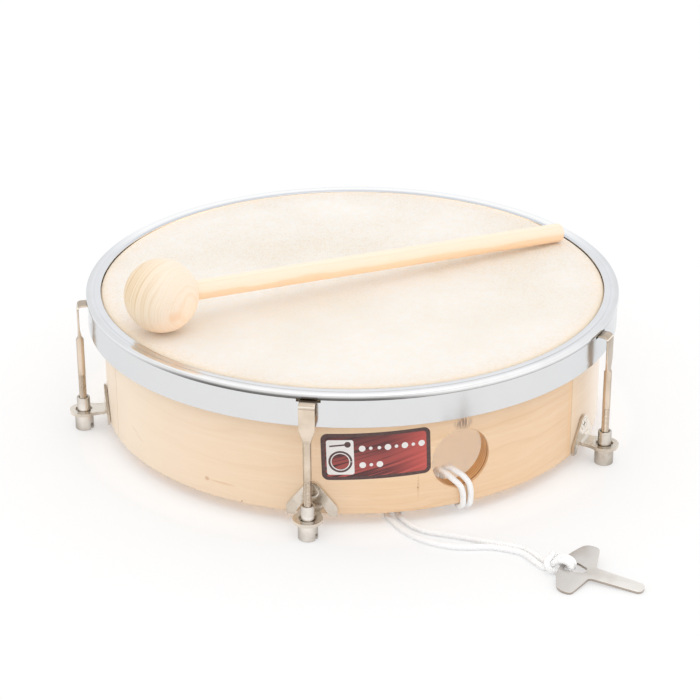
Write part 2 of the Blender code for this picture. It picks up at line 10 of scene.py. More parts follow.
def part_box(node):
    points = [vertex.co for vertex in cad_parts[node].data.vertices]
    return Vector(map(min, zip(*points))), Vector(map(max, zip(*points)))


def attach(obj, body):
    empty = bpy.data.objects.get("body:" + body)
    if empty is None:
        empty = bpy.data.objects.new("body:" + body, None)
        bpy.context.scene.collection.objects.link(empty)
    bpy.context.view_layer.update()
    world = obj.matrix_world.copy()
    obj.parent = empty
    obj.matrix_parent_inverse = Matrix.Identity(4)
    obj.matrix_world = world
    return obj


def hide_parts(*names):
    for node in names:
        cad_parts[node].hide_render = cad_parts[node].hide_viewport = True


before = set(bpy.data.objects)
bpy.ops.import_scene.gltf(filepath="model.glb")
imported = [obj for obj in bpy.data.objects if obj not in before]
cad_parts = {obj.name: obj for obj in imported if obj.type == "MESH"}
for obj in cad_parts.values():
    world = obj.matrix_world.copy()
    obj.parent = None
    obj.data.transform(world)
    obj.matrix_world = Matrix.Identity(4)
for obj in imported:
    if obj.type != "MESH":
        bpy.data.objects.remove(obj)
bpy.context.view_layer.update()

scene = bpy.context.scene
shell_low, shell_high = (Vector(corner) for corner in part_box("shell"))
drum_axis = Vector(((shell_low.x + shell_high.x) / 2, (shell_low.y + shell_high.y) / 2, 0))


# Camera: a long lens a little over a metre away, looking down on the drum from the right of its
# front hook. The drum sits slightly right of and above the middle of the square picture.
def set_out(name, data):
    thing = bpy.data.objects.new(name, data)
    scene.collection.objects.link(thing)
    return thing


view_turn = math.radians(8.65)
view_height = math.radians(24.636)
view_tilt = math.radians(0.166)
view_roll = -0.00242
aim = drum_axis + Vector((0, 0, 0.0363))
towards = Vector((math.sin(view_turn) * math.cos(view_height), -math.cos(view_turn) * math.cos(view_height),
                  math.sin(view_height)))
picture_side = 700
lens = bpy.data.cameras.new("studio_lens")
lens.sensor_width = 36
lens.lens = lens.sensor_width * 2191.57 / picture_side
lens.shift_x = -2.56 / picture_side
camera = set_out("studio_camera", lens)
camera_distance = 1.13147
camera.matrix_world = (Matrix.Translation(aim + camera_distance * towards)
                       @ Matrix.Rotation(view_turn, 4, "Z")
                       @ Matrix.Rotation(math.pi / 2 - view_height - view_tilt, 4, "X")
                       @ Matrix.Rotation(view_roll, 4, "Z"))
scene.camera = camera


# Cord: one doubled length of white braid, hitched through the thumb hole round the shell's foot.
# Its two strands come out from under the drum side by side and are tied through the key's slot.
cord_thickness = 0.0028
hole_turn = math.radians(32.3)
shell_radius = 0.127
key_tip = Vector((0.1552, -0.1654, 0.0001))
key_heading = math.radians(-18.7)


def by_the_hole(along, out, z):
    """A place near the thumb hole in mm: along the wall, out from its outer face, above the table."""
    angle = hole_turn + along / 1000 / shell_radius
    radius = shell_radius + out / 1000
    return drum_axis + Vector((radius * math.sin(angle), -radius * math.cos(angle), z / 1000))


def on_the_table(x, y):
    return drum_axis + Vector((x / 1000, y / 1000, cord_thickness / 2 + 0.0001))


def at_the_key(u, v, w):
    """A place in mm in the key's own frame laid flat: along it, across it, above the table."""
    turned = Matrix.Rotation(key_heading, 4, "Z") @ Vector((u / 1000, v / 1000, w / 1000))
    return turned + drum_axis + Vector((key_tip.x, key_tip.y, 0))


def smooth_route(route, per_span=8):
    points = []
    ends = [2 * route[0] - route[1]] + route + [2 * route[-1] - route[-2]]
    for a, b, c, d in zip(ends, ends[1:], ends[2:], ends[3:]):
        for k in range(per_span):
            t = k / per_span
            points.append(0.5 * (2 * b + (c - a) * t + (2 * a - 5 * b + 4 * c - d) * t ** 2
                                 + (3 * b - a - 3 * c + d) * t ** 3))
    points.append(route[-1])
    return points


near_route = [by_the_hole(*p) for p in ((1.7, -21.8, 1.6), (3.2, -21.8, 1.6), (5.9, -20.8, 1.6),
                                        (6.4, -18.4, 1.6), (4.0, -16.4, 1.6), (0.2, -14.9, 1.6),
                                        (-3.4, -13.3, 1.9), (-5.0, -11.3, 4.2), (-5.4, -10.8, 8.0),
                                        (-5.4, -10.8, 13.0), (-5.1, -10.8, 17.4), (-4.3, -9.8, 21.2),
                                        (-2.6, -6.8, 22.6), (-0.2, -3.4, 21.6), (2.0, -0.8, 19.8),
                                        (3.5, 1.2, 17.2), (4.3, 1.7, 13.4), (4.4, 1.7, 9.5), (4.1, 1.5, 6.2),
                                        (3.6, -0.8, 4.4), (3.6, -5.0, 4.4), (4.1, -9.5, 4.5),
                                        (2.6, -14.2, 4.7), (-2.0, -17.7, 4.9), (-7.0, -19.4, 4.9),
                                        (-11.8, -20.0, 3.4), (-16.5, -19.9, 1.7), (-22.5, -18.7, 1.6),
                                        (-29.0, -15.4, 1.6), (-33.6, -11.0, 1.6))]
near_route += [on_the_table(*p) for p in (
    (33.6, -115.0), (37.6, -121.2), (42.2, -127.4), (48.5, -133.0), (55.0, -136.9), (61.5, -139.2),
    (68.0, -140.3), (74.5, -139.9), (81.0, -138.6), (87.5, -138.2), (94.5, -139.5), (101.0, -142.4))]
far_route = [by_the_hole(*p) for p in (
    (1.1, -21.8, 1.6), (-0.4, -21.8, 1.6), (-4.2, -20.4, 1.6), (-6.7, -17.0, 1.6), (-7.8, -13.4, 2.9),
    (-8.6, -11.1, 7.0), (-8.9, -10.8, 13.0), (-8.8, -10.8, 18.6), (-8.2, -9.3, 21.6), (-7.0, -6.4, 22.0),
    (-5.0, -3.2, 20.6), (-3.0, -0.7, 18.9), (-1.0, 1.2, 16.6), (0.1, 1.7, 13.2), (0.5, 1.7, 9.4),
    (0.3, 1.5, 6.2), (-0.2, -0.8, 4.4), (0.1, -5.0, 4.4), (0.2, -9.2, 4.7), (-1.2, -12.9, 5.2),
    (-5.0, -15.2, 5.4), (-9.4, -16.2, 4.9), (-13.8, -16.3, 2.4), (-18.0, -15.9, 1.6), (-22.5, -14.6, 1.6),
    (-26.5, -12.0, 1.6), (-29.4, -8.6, 1.6))]
far_route += [on_the_table(*p) for p in (
    (39.0, -114.2), (42.8, -119.6), (47.4, -124.4), (53.5, -127.8), (60.5, -129.2), (68.0, -130.2),
    (76.0, -132.0), (83.0, -133.8), (90.0, -134.8), (96.4, -136.2), (102.6, -138.8))]


def knot(side):
    """One strand's way over the key's bridge, down the slot, back under it and across both strands."""
    return [at_the_key(u, v * side, w) for u, v, w in (
        (-47.0, 2.2, 1.5), (-44.0, 1.6, 2.2), (-41.6, 1.6, 4.5), (-39.4, 1.6, 6.4), (-36.6, 1.6, 6.9),
        (-34.2, 1.6, 6.1), (-33.2, 1.6, 4.2), (-34.2, 1.65, 2.3), (-36.6, 1.75, 1.45), (-39.4, 3.7, 1.5),
        (-42.0, 5.0, 2.6), (-43.6, 4.9, 4.8), (-44.3, 3.2, 5.9), (-44.4, 1.8, 5.9), (-44.4, 0.4, 5.9))]


def wire(node, inputs):
    """Sets a node's inputs by name or number: a plain value is written, a socket is linked."""
    for key, value in inputs.items():
        if isinstance(value, bpy.types.NodeSocket):
            node.id_data.links.new(value, node.inputs[key])
        else:
            node.inputs[key].default_value = value
    return node


def add(tree, kind, inputs=None, **settings):
    node = tree.nodes.new(kind)
    for key, value in settings.items():
        setattr(node, key, value)
    return wire(node, inputs or {})


def maths(operation, *values, clamp=False):
    """One Math node in the tree of the first socket among its values; returns its output."""
    tree = next(value.id_data for value in values if isinstance(value, bpy.types.NodeSocket))
    node = add(tree, "ShaderNodeMath", dict(enumerate(values)), operation=operation, use_clamp=clamp)
    return node.outputs[0]


def times(first, *others):
    for other in others:
        first = maths("MULTIPLY", first, other)
    return first


def plus(first, *others):
    for other in others:
        first = maths("ADD", first, other)
    return first


def minus(first, second):
    return maths("SUBTRACT", first, second)


def fade(value, start=0.0, end=1.0, low=0.0, high=1.0, smooth=False):
    """Low where the value is at the start, high where it is at the end, level beyond both."""
    limits = {"Value": value, "From Min": start, "From Max": end, "To Min": low, "To Max": high}
    way = "SMOOTHSTEP" if smooth else "LINEAR"
    return add(value.id_data, "ShaderNodeMapRange", limits, interpolation_type=way).outputs[0]


def mottling(place, scale, detail, roughness=0.5):
    inputs = {"Vector": place, "Scale": scale, "Detail": detail, "Roughness": roughness}
    return add(place.id_data, "ShaderNodeTexNoise", inputs).outputs[0]


def split_up(place):
    return add(place.id_data, "ShaderNodeSeparateXYZ", {0: place}).outputs


def tinted(base, colour, where, strength=1.0):
    """The base colour turned towards another by a mask, or by a share of the mask."""
    if strength != 1.0:
        where = times(where, strength)
    base, colour = (c if isinstance(c, bpy.types.NodeSocket) else (*c, 1) for c in (base, colour))
    tree = next(v.id_data for v in (where, base, colour) if isinstance(v, bpy.types.NodeSocket))
    return add(tree, "ShaderNodeMix", {0: where, 6: base, 7: colour}, data_type="RGBA").outputs[2]


def effect(name, inputs, outputs, kind="ShaderNodeTree"):
    """A node group whose sockets are given by a start value or a kind; returns it and its inputs."""
    group = bpy.data.node_groups.new(name, kind)
    for way, sockets in (("INPUT", inputs), ("OUTPUT", outputs)):
        for label, given in sockets.items():
            plain = not isinstance(given, str)
            sort = "NodeSocketFloat" if plain else given
            made = group.interface.new_socket(name=label, in_out=way, socket_type=sort)
            if plain:
                made.default_value = given
    return group, add(group, "NodeGroupInput").outputs


def placed(tree, group, inputs):
    return add(tree, "ShaderNodeGroup", inputs, node_tree=group).outputs


def finish_of(name, **constants):
    """A material with its own Principled BSDF; returns the material, its tree and the shader."""
    made = bpy.data.materials.new(name)
    made.use_nodes = True
    shader = made.node_tree.nodes["Principled BSDF"]
    wire(shader, {key.replace("_", " "): value for key, value in constants.items()})
    return made, made.node_tree, shader


def bumped(shader, height, distance):
    """Feeds a height into the shader's normal."""
    bump = add(shader.id_data, "ShaderNodeBump", {"Height": height, "Distance": distance})
    wire(shader, {"Normal": bump.outputs["Normal"]})


# The braid effect: two sets of eight plaits that cross in a herringbone along the cord's own map
braid_effect, given = effect("braid", {"Map": "NodeSocketVector", "Plaits": 4.0, "Pitch": 5.2},
                             {"Height": 0.0, "Shade": 0.0})
split = split_up(given["Map"])
around = times(split["X"], given["Plaits"])
along = times(maths("DIVIDE", split["Y"], given["Pitch"]), given["Plaits"])
left_lay = maths("PINGPONG", plus(around, along), 0.5)
right_lay = maths("PINGPONG", minus(around, along), 0.5)
over = maths("GREATER_THAN", maths("SINE", times(around, 2 * math.pi)), 0.0)
plait = times(plus(times(left_lay, over), times(right_lay, minus(1.0, over))), 2.0)
fibre = mottling(given["Map"], 40.0, 3.0)
wire(add(braid_effect, "NodeGroupOutput"), {
    "Height": plus(maths("POWER", plait, 0.5), times(fibre, 0.3)), "Shade": fade(plait, 0.0, 0.5, 0.55)})

# Painted glow: the cord emits a faint light of its own, so it stays white where it is shaded.
white_braid, tree, shader = finish_of("white_braid", Roughness=0.85, Sheen_Weight=0.6,
                                      Emission_Color=(1, 1, 1, 1), Emission_Strength=0.08)
white_braid.cycles.emission_sampling = "NONE"
cord_map = add(tree, "ShaderNodeUVMap", uv_map="along_the_cord").outputs[0]
plaits = placed(tree, braid_effect, {"Map": cord_map})
grime = mottling(cord_map, 0.35, 2.0)
yarn = tinted((0.93, 0.92, 0.90), (1.0, 1.0, 1.0), plaits["Shade"])
yarn = tinted(yarn, (0.88, 0.85, 0.80), grime, 0.06)
wire(shader, {"Base Color": yarn})
bumped(shader, plaits["Height"], 0.0002)


def laid_cord(name, route):
    """A braided tube along a route, a little uneven, with a map along and around it."""
    points = smooth_route(route)
    reach = [0.0]
    for a, b in zip(points, points[1:]):
        reach.append(reach[-1] + (b - a).length)
    step = 0.00045
    count = round(reach[-1] / step)
    line, k = [], 0
    for i in range(count + 1):
        at = min(reach[-1] * i / count, reach[-1] - 1e-9)
        while reach[k + 1] < at:
            k += 1
        t = (at - reach[k]) / (reach[k + 1] - reach[k])
        line.append(points[k].lerp(points[k + 1], t))
    sides = 16
    shape = bmesh.new()
    map_layer = shape.loops.layers.uv.new("along_the_cord")
    side = (line[1] - line[0]).orthogonal().normalized()
    rings = []
    for i, place in enumerate(line):
        heading = (line[min(i + 1, count)] - line[max(i - 1, 0)]).normalized()
        side = (side - heading * side.dot(heading)).normalized()
        other = heading.cross(side)
        swell = 1 + 0.05 * noise.noise(place * 220)
        ring = []
        for j in range(sides):
            angle = 2 * math.pi * j / sides
            out = side * math.cos(angle) + other * math.sin(angle)
            ring.append(shape.verts.new(place + out * (cord_thickness / 2 * swell + 0.00004)))
        rings.append(ring)
    for i, (low, high) in enumerate(zip(rings, rings[1:])):
        for j in range(sides):
            n = (j + 1) % sides
            face = shape.faces.new((low[j], low[n], high[n], high[j]))
            face.smooth = True
            for loop, (a, b) in zip(face.loops, ((j, i), (j + 1, i), (j + 1, i + 1), (j, i + 1))):
                loop[map_layer].uv = (a / sides, b * step * 1000)
    for ring, place in ((rings[0], line[0]), (rings[-1], line[-1])):
        middle = shape.verts.new(place + (place - line[1 if ring is rings[0] else -2]).normalized() * 0.0002)
        for j in range(sides):
            shape.faces.new((ring[j], ring[(j + 1) % sides], middle))
    bmesh.ops.recalc_face_normals(shape, faces=shape.faces)
    mesh = bpy.data.meshes.new(name)
    shape.to_mesh(mesh)
    shape.free()
    mesh.materials.append(white_braid)
    return set_out(name, mesh), line, reach[-1]


for name, node, route, side, far_end in (("braid_near", "cord_near", near_route, -1, "tool"),
                                         ("braid_far", "cord_far", far_route, 1, "knot")):
    strand, line, length = laid_cord(name, route + knot(side))
    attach(strand, "drum")
    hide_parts(node)


# Shell: beech plies bent into a ring and scarfed, turned true on its bearing edge, bored for the
# thumb, sanded and given one thin coat of clear lacquer.
on_the_axis = Matrix.Translation(drum_axis)
shell_wall = 0.009
shell_base = shell_low.z
shell_top = shell_high.z
hole_radius = 0.0148
hole_height = shell_base + 0.0241


def rounded(corners, arc_step=12):
    """An outline from (x, y, fillet radius) corners, each fillet an arc of short chords."""
    points = []
    for i, (x, y, radius) in enumerate(corners):
        here = Vector((x, y))
        before = Vector(corners[i - 1][:2]) - here
        after = Vector(corners[(i + 1) % len(corners)][:2]) - here
        bend = math.pi - before.angle(after)
        if radius <= 0 or bend < 0.02:
            points.append(here)
            continue
        reach = min(radius * math.tan(bend / 2), 0.49 * before.length, 0.49 * after.length)
        arc = reach / math.tan(bend / 2)
        middle = (before.normalized() + after.normalized()).normalized()
        centre = here + middle * math.hypot(reach, arc)
        arm = here + before.normalized() * reach - centre
        side = 1 if before.x * after.y - before.y * after.x < 0 else -1
        count = max(1, round(math.degrees(bend) / arc_step))
        for k in range(count + 1):
            angle = side * bend * k / count
            points.append(centre + Vector((arm.x * math.cos(angle) - arm.y * math.sin(angle),
                                           arm.x * math.sin(angle) + arm.y * math.cos(angle))))
    return points


def workpiece(name, mesh, place=None):
    """A piece on the bench: an unfinished object that cutters and modifiers still work on."""
    piece = set_out(name, mesh)
    if place is not None:
        piece.matrix_world = place
    return piece


def made_from(piece, weld=0.000002, tools=()):
    """Takes a workpiece off the bench: its evaluated mesh in place, doubles merged, tools put away."""
    bpy.context.view_layer.update()
    place = piece.matrix_world.copy()
    graph = bpy.context.evaluated_depsgraph_get()
    mesh = bpy.data.meshes.new_from_object(piece.evaluated_get(graph))
    for used in (piece, *tools):
        bpy.data.objects.remove(used, do_unlink=True)
    mesh.transform(place)
    shape = bmesh.new()
    shape.from_mesh(mesh)
    bmesh.ops.remove_doubles(shape, verts=shape.verts, dist=weld)
    bmesh.ops.recalc_face_normals(shape, faces=shape.faces)
    shape.to_mesh(mesh)
    shape.free()
    return mesh


def turned(name, profile, steps, closed=True, place=None):
    """A profile that runs down its outer side, spun about Z."""
    mesh = bpy.data.meshes.new(name)
    edges = [(i, i + 1) for i in range(len(profile) - 1)]
    if closed:
        edges.append((len(profile) - 1, 0))
    mesh.from_pydata([(x, 0, z) for x, z in profile], edges, [])
    piece = workpiece(name, mesh)
    spin = piece.modifiers.new("spin", "SCREW")
    spin.steps = spin.render_steps = steps
    spin.use_merge_vertices = True
    spin.merge_threshold = 0.00001
    mesh = made_from(piece, 0.00001)
    return workpiece(name, mesh, place)


def cut(piece, *cutters, kind="DIFFERENCE"):
    for cutter in cutters:
        tool = piece.modifiers.new(cutter.name, "BOOLEAN")
        tool.operation = kind
        tool.object = cutter


def finished(name, piece, material, body, nodes=(), sharp=38, tools=()):
    """Turns a workpiece into the finished object at the origin, on its body, in place of its nodes."""
    mesh = made_from(piece, tools=tools)
    mesh.materials.clear()
    mesh.materials.append(material)
    mesh.shade_smooth()
    mesh.set_sharp_from_angle(angle=math.radians(sharp))
    done = set_out(name, mesh)
    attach(done, body)
    if nodes:
        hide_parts(*nodes)
    return done


def with_rows(profile, longest):
    """Adds points on a profile's long straight runs, so that the wall has short faces."""
    full = []
    for a, b in zip(profile, profile[1:] + profile[:1]):
        pieces = max(1, math.ceil((b - a).length / longest))
        full += [a.lerp(b, k / pieces) for k in range(pieces)]
    return full


def stretched(place, by):
    return add(place.id_data, "ShaderNodeVectorMath", {0: place, 1: by}, operation="MULTIPLY").outputs[0]


def own_place(tree):
    return add(tree, "ShaderNodeTexCoord").outputs["Object"]


def times_plus(value, factor, more):
    return maths("MULTIPLY_ADD", value, factor, more)


# The wood effect: fine pores and slow bands along the grain, in a wood-grain frame in millimetres
wood_effect, given = effect("wood_figure", {
    "Grain Frame": "NodeSocketVector", "Ring Width": 3.0, "Waviness": 2.0},
    {"Bands": 0.0, "Pores": 0.0, "Cloud": 0.0})
grain, width = given["Grain Frame"], given["Ring Width"]
drift = mottling(stretched(grain, (0.012, 0.09, 0.09)), 1.0, 2.0)
drift = times(minus(drift, 0.5), given["Waviness"])
level = maths("DIVIDE", split_up(grain)["Y"], width)
depth = maths("DIVIDE", split_up(grain)["Z"], times(width, 2.2))
bands = add(wood_effect, "ShaderNodeTexNoise", {
    "W": plus(level, depth, drift), "Scale": 1.3, "Detail": 4.0, "Roughness": 0.6},
    noise_dimensions="1D").outputs[0]
pores = mottling(stretched(grain, (0.12, 3.2, 3.2)), 1.0, 4.0, 0.65)
cloud = mottling(stretched(grain, (0.02, 0.05, 0.05)), 1.0, 3.0)
wire(add(wood_effect, "NodeGroupOutput"), {"Bands": bands, "Pores": pores, "Cloud": cloud})


def round_frame(tree):
    """Round the drum: millimetres along the wall, above the table and out from the axis."""
    place = own_place(tree)
    centred = add(tree, "ShaderNodeMapping", {"Vector": place, "Location": -drum_axis}).outputs[0]
    split = split_up(centred)
    front = times(split["Y"], -1.0)
    angle = maths("ARCTAN2", split["X"], front)
    radius = maths("SQRT", plus(maths("POWER", split["X"], 2.0), maths("POWER", split["Y"], 2.0)))
    along = times(angle, shell_radius * 1000)
    up = times(split["Z"], 1000.0)
    out = times(radius, 1000.0)
    frame_mm = add(tree, "ShaderNodeCombineXYZ", {0: along, 1: up, 2: out}).outputs[0]
    return frame_mm, along, up, out


def spot(along, up, centre, size):
    """1 in the middle of an oval mark on the wall, 0 outside it."""
    u = maths("DIVIDE", minus(along, centre[0]), size[0])
    v = maths("DIVIDE", minus(up, centre[1]), size[1])
    return fade(plus(times(u, u), times(v, v)), 0.0, 1.0, 1.0, 0.0, smooth=True)


def ramp(value, *stops):
    """A colour ramp from (place, colour) stops, where a single number is a grey."""
    node = add(value.id_data, "ShaderNodeValToRGB", {"Fac": value})
    while len(node.color_ramp.elements) < len(stops):
        node.color_ramp.elements.new(0.5)
    for element, (place, colour) in zip(node.color_ramp.elements, stops):
        element.position = place
        element.color = (*colour, 1) if isinstance(colour, tuple) else (colour, colour, colour, 1)
    return node.outputs["Color"]


def along_to(turn):
    """Millimetres along the wall from the drum's front to a place in degrees round it."""
    return math.radians(turn) * shell_radius * 1000


lacquered_beech, tree, shader = finish_of("lacquered_beech", Specular_IOR_Level=0.4)
grain_mm, along, up, out = round_frame(tree)
figure = placed(tree, wood_effect, {"Grain Frame": grain_mm, "Ring Width": 5.0, "Waviness": 3.4})
beech = ramp(figure["Bands"], (0.22, (0.86, 0.56, 0.315)), (0.40, (0.92, 0.625, 0.375)),
             (0.55, (0.945, 0.66, 0.42)), (0.75, (0.965, 0.70, 0.465)))
beech = tinted(beech, (0.80, 0.54, 0.32), ramp(figure["Pores"], (0.36, 0.45), (0.46, 0)))
beech = tinted(beech, (0.95, 0.76, 0.57), figure["Cloud"], 0.4)
round_back = fade(along, -390.0, -260.0)
paler = fade(along, 35.0, -115.0, high=0.88)
beech = tinted(beech, (1.0, 0.855, 0.69), times(paler, round_back))
mark_along = along_to(-24.5)
rough_edge = ramp(figure["Pores"], (0.35, 0.3), (0.60, 1))
knot_mark = times(spot(along, up, (mark_along, 14.8), (1.7, 1.4)), rough_edge)
beech = tinted(beech, (0.60, 0.30, 0.14), knot_mark, 0.8)
streak = times(spot(along, up, (mark_along + 9, 14.6), (9, 0.8)), rough_edge)
beech = tinted(beech, (0.74, 0.43, 0.22), streak, 0.6)
smudge = spot(along, up, (along_to(32.6), 48.6), (5.6, 4.4))
upright = mottling(stretched(grain_mm, (1.6, 0.15, 0.0)), 1.0, 3.0)
smudge = times(smudge, ramp(upright, (0.40, 0.15), (0.60, 1)))
beech = tinted(beech, (0.30, 0.20, 0.16), smudge, 0.9)
crack = spot(along, up, (along_to(22.6), 19.0), (0.7, 7.5))
crack = times(crack, ramp(figure["Pores"], (0.40, 1), (0.60, 0.3)))
beech = tinted(beech, (0.62, 0.33, 0.15), crack, 0.5)
for turn, height, size in ((22.5, 18.6, 0.5), (-15.8, 7.4, 0.6)):
    dot = spot(along, up, (along_to(turn), height), (size, size))
    beech = tinted(beech, (0.40, 0.20, 0.10), dot, 0.7)
for turn, height in ((-48.5, 21.5), (-46.5, 19.0)):
    slope = times_plus(along, 0.25, up)
    scratch = spot(along, slope, (along_to(turn), height + along_to(turn) * 0.25),
                   (5.0, 0.35))
    beech = tinted(beech, (0.66, 0.42, 0.24), scratch, 0.4)
for turn in (-58.8, 66.0):
    seam = spot(along, up, (along_to(turn), 38), (0.35, 60))
    beech = tinted(beech, (0.48, 0.28, 0.15), seam, 0.6)
beyond = times(fade(along, along_to(66), along_to(66) + 0.3, high=0.45), fade(along, 330.0, 220.0))
beech = tinted(beech, (0.97, 0.82, 0.65), beyond)
# Painted reflection: the outer wall turns near white from 68 to 86 degrees, towards its right edge.
glancing_reflection = times(fade(along, along_to(68), along_to(86), high=0.75), fade(along, 330.0, 240.0))
beech = tinted(beech, (1.0, 0.92, 0.84), times(glancing_reflection, maths("GREATER_THAN", out, 126.0)))
warm_edge = spot(along, up, (along_to(65.2), 38), (2.2, 60))
beech = tinted(beech, (0.96, 0.62, 0.33), warm_edge, 0.5)
unlacquered = maths("LESS_THAN", out, 118.6)
beech = tinted(beech, (0.98, 0.80, 0.58), unlacquered)
plies = maths("SINE", times(out, 2 * math.pi / 1.5))
in_the_wall = times(spot(out, out, (122.5, 122.5), (8.0, 8.0)), maths("COMPARE", out, 122.5, 4.2))
plies = times(times_plus(plies, 0.30, 0.56), in_the_wall)
beech = tinted(beech, (0.73, 0.38, 0.13), plies)
glue_line = times(spot(out, out, (125.2, 125.2), (0.6, 0.6)), in_the_wall)
beech = tinted(beech, (0.30, 0.12, 0.05), glue_line)
wire(shader, {"Base Color": beech, "Roughness": fade(figure["Pores"], 0.3, 0.7, 0.52, 0.36)})
bumped(shader, figure["Pores"], 0.00006)

ring = with_rows(rounded([
    (shell_radius, shell_top, 0.002), (shell_radius, shell_base, 0.0008),
    (shell_radius - shell_wall, shell_base, 0.0008), (shell_radius - shell_wall, shell_top, 0.0008)], 15),
    0.0028)
shell = turned("shell_ring", ring, 288, place=on_the_axis)
inner = shell_radius - shell_wall
thumb_tool = turned("thumb_tool", rounded([
    (0, shell_radius + 0.004, 0), (hole_radius + 0.004, shell_radius + 0.004, 0),
    (hole_radius + 0.0008, shell_radius + 0.00005, 0), (hole_radius, shell_radius - 0.0009, 0.002),
    (hole_radius, inner + 0.0004, 0.001), (hole_radius + 0.0005, inner - 0.001, 0),
    (hole_radius + 0.0005, inner - 0.006, 0), (0, inner - 0.006, 0)]), 96, closed=False,
    place=(Matrix.Translation(drum_axis + Vector((0, 0, hole_height))) @ Matrix.Rotation(hole_turn, 4, "Z")
           @ Matrix.Rotation(math.pi / 2, 4, "X")))
cut(shell, thumb_tool)
finished("wooden_shell", shell, lacquered_beech, "drum", ["shell"], tools=[thumb_tool])


# Label: a small glossy sticker on the front, black edged, with a red panel that darkens to the
# left, a white tile with a drum seen from above, and two rows of strong and weak beats.
def cut_sheet(name, outline, thickness):
    """A flat outline in X and Y given a thickness, half above and half below Z = 0, as a mesh."""
    line = bpy.data.curves.new(name, "CURVE")
    line.dimensions = "2D"
    line.fill_mode = "BOTH"
    line.extrude = thickness / 2
    spline = line.splines.new("POLY")
    spline.points.add(len(outline) - 1)
    for point, (x, y) in zip(spline.points, outline):
        point.co = (x, y, 0, 1)
    spline.use_cyclic_u = True
    return made_from(workpiece(name, line))


def sliced(shape, places):
    """Cuts a sheet's faces across at places along X, so that it bends smoothly."""
    for at in places:
        geom = shape.verts[:] + shape.edges[:] + shape.faces[:]
        bmesh.ops.bisect_plane(shape, geom=geom, plane_co=(at, 0, 0), plane_no=(1, 0, 0), dist=1e-7)


def bent_plate(name, outline, thickness, radius, rows=0.0015):
    """A flat outline in X and Z, given a thickness and wrapped on the drum's wall at that radius."""
    mesh = cut_sheet(name, outline, thickness)
    shape = bmesh.new()
    shape.from_mesh(mesh)
    xs = [v.co.x for v in shape.verts]
    count = max(2, math.ceil((max(xs) - min(xs)) / rows))
    sliced(shape, [min(xs) + (max(xs) - min(xs)) * k / count for k in range(1, count)])
    flat = shape.loops.layers.uv.new("flat_print")
    for face in shape.faces:
        for loop in face.loops:
            loop[flat].uv = (loop.vert.co.x * 1000, loop.vert.co.y * 1000)
    for v in shape.verts:
        out = radius + thickness / 2 + v.co.z
        angle = v.co.x / radius
        v.co = drum_axis + Vector((out * math.sin(angle), -out * math.cos(angle), v.co.y))
    shape.to_mesh(mesh)
    shape.free()
    return workpiece(name, mesh)


label_turn = math.radians(13.6)
label_middle = (label_turn * shell_radius, 0.0372)
label_half = (0.0257, 0.0120)


def on_the_label(middle, x, y):
    """A point on the label, which was stuck on 1.8 degrees out of level."""
    x += middle[0] - label_middle[0]
    y += middle[1] - label_middle[1]
    c, s = math.cos(math.radians(1.8)), math.sin(math.radians(1.8))
    return label_middle[0] + c * x - s * y, label_middle[1] + s * x + c * y


def oblong(middle, half, corner):
    w, h = half
    corners = [(-w, -h), (w, -h), (w, h), (-w, h)]
    return rounded([(*on_the_label(middle, x, y), corner) for x, y in corners], 10)


def label_layer(name, outline, base, thickness, ink, rows=0.0015):
    """One layer of the label, wrapped on the wall at a height above it."""
    finished(name, bent_plate(name, outline, thickness, shell_radius + base, rows), ink, "drum")


def print_ink(name, colour):
    ink, tree, shader = finish_of(name, Roughness=0.3)
    speck = mottling(own_place(tree), 900.0, 2.0)
    wire(shader, {"Base Color": tinted(colour, (0.45, 0.42, 0.40), speck, 0.18)})
    return ink


label_black = print_ink("label_black", (0.060, 0.013, 0.011))
label_white = print_ink("label_white", (0.93, 0.90, 0.88))
label_red, tree, shader = finish_of("label_red", Roughness=0.3)
flat_mm = add(tree, "ShaderNodeUVMap", uv_map="flat_print").outputs[0]
across = fade(split_up(flat_mm)["X"], label_middle[0] * 1000 - 12, label_middle[0] * 1000 + 25)
down = fade(split_up(flat_mm)["Y"], 49.0, 25.0)
turned_mm = add(tree, "ShaderNodeVectorRotate", {"Vector": flat_mm, "Angle": math.radians(-17)},
                rotation_type="Z_AXIS").outputs[0]
rays = add(tree, "ShaderNodeMapping", {"Vector": turned_mm, "Scale": (0.015, 0.6, 1.0)}).outputs[0]
rays = mottling(rays, 1.0, 3.0, 0.6)
streak = ramp(rays, (0.48, 0), (0.53, 1))
red = ramp(across, (0.0, (0.055, 0.018, 0.018)), (0.45, (0.13, 0.030, 0.030)), (1.0, (0.60, 0.10, 0.085)))
red = tinted(red, (0.72, 0.13, 0.11), times(streak, times_plus(down, 0.6, 0.05)))
wire(shader, {"Base Color": red})

sheet, film = 0.00012, 0.00003
tile_middle = (label_middle[0] - 0.0168, label_middle[1] - 0.0002)
panel_half = (label_half[0] - 0.0019, label_half[1] - 0.0017)
label_layer("label_sheet", oblong(label_middle, label_half, 0.0032), 0, sheet, label_black)
label_layer("label_panel", oblong(label_middle, panel_half, 0.0018), sheet, film, label_red)
label_layer("label_tile", oblong(tile_middle, (0.0064, 0.0090), 0.0012), 0.00015, film, label_white)


def ring_plate(name, middle, outer, hollow, end, base, ink):
    """A printed disc or ring, as an outline from 0 to end degrees."""
    steps = max(6, round(end / 6))
    turns = [math.radians(end * k / steps) for k in range(steps + 1)]
    path = [on_the_label(middle, outer * math.cos(t), outer * math.sin(t)) for t in turns]
    if hollow:
        path += [on_the_label(middle, hollow * math.cos(t), hollow * math.sin(t)) for t in reversed(turns)]
    label_layer(name, path, base, 0.00002, ink, 0.002)


def on_the_tile(x, y):
    return tile_middle[0] + x, tile_middle[1] + y


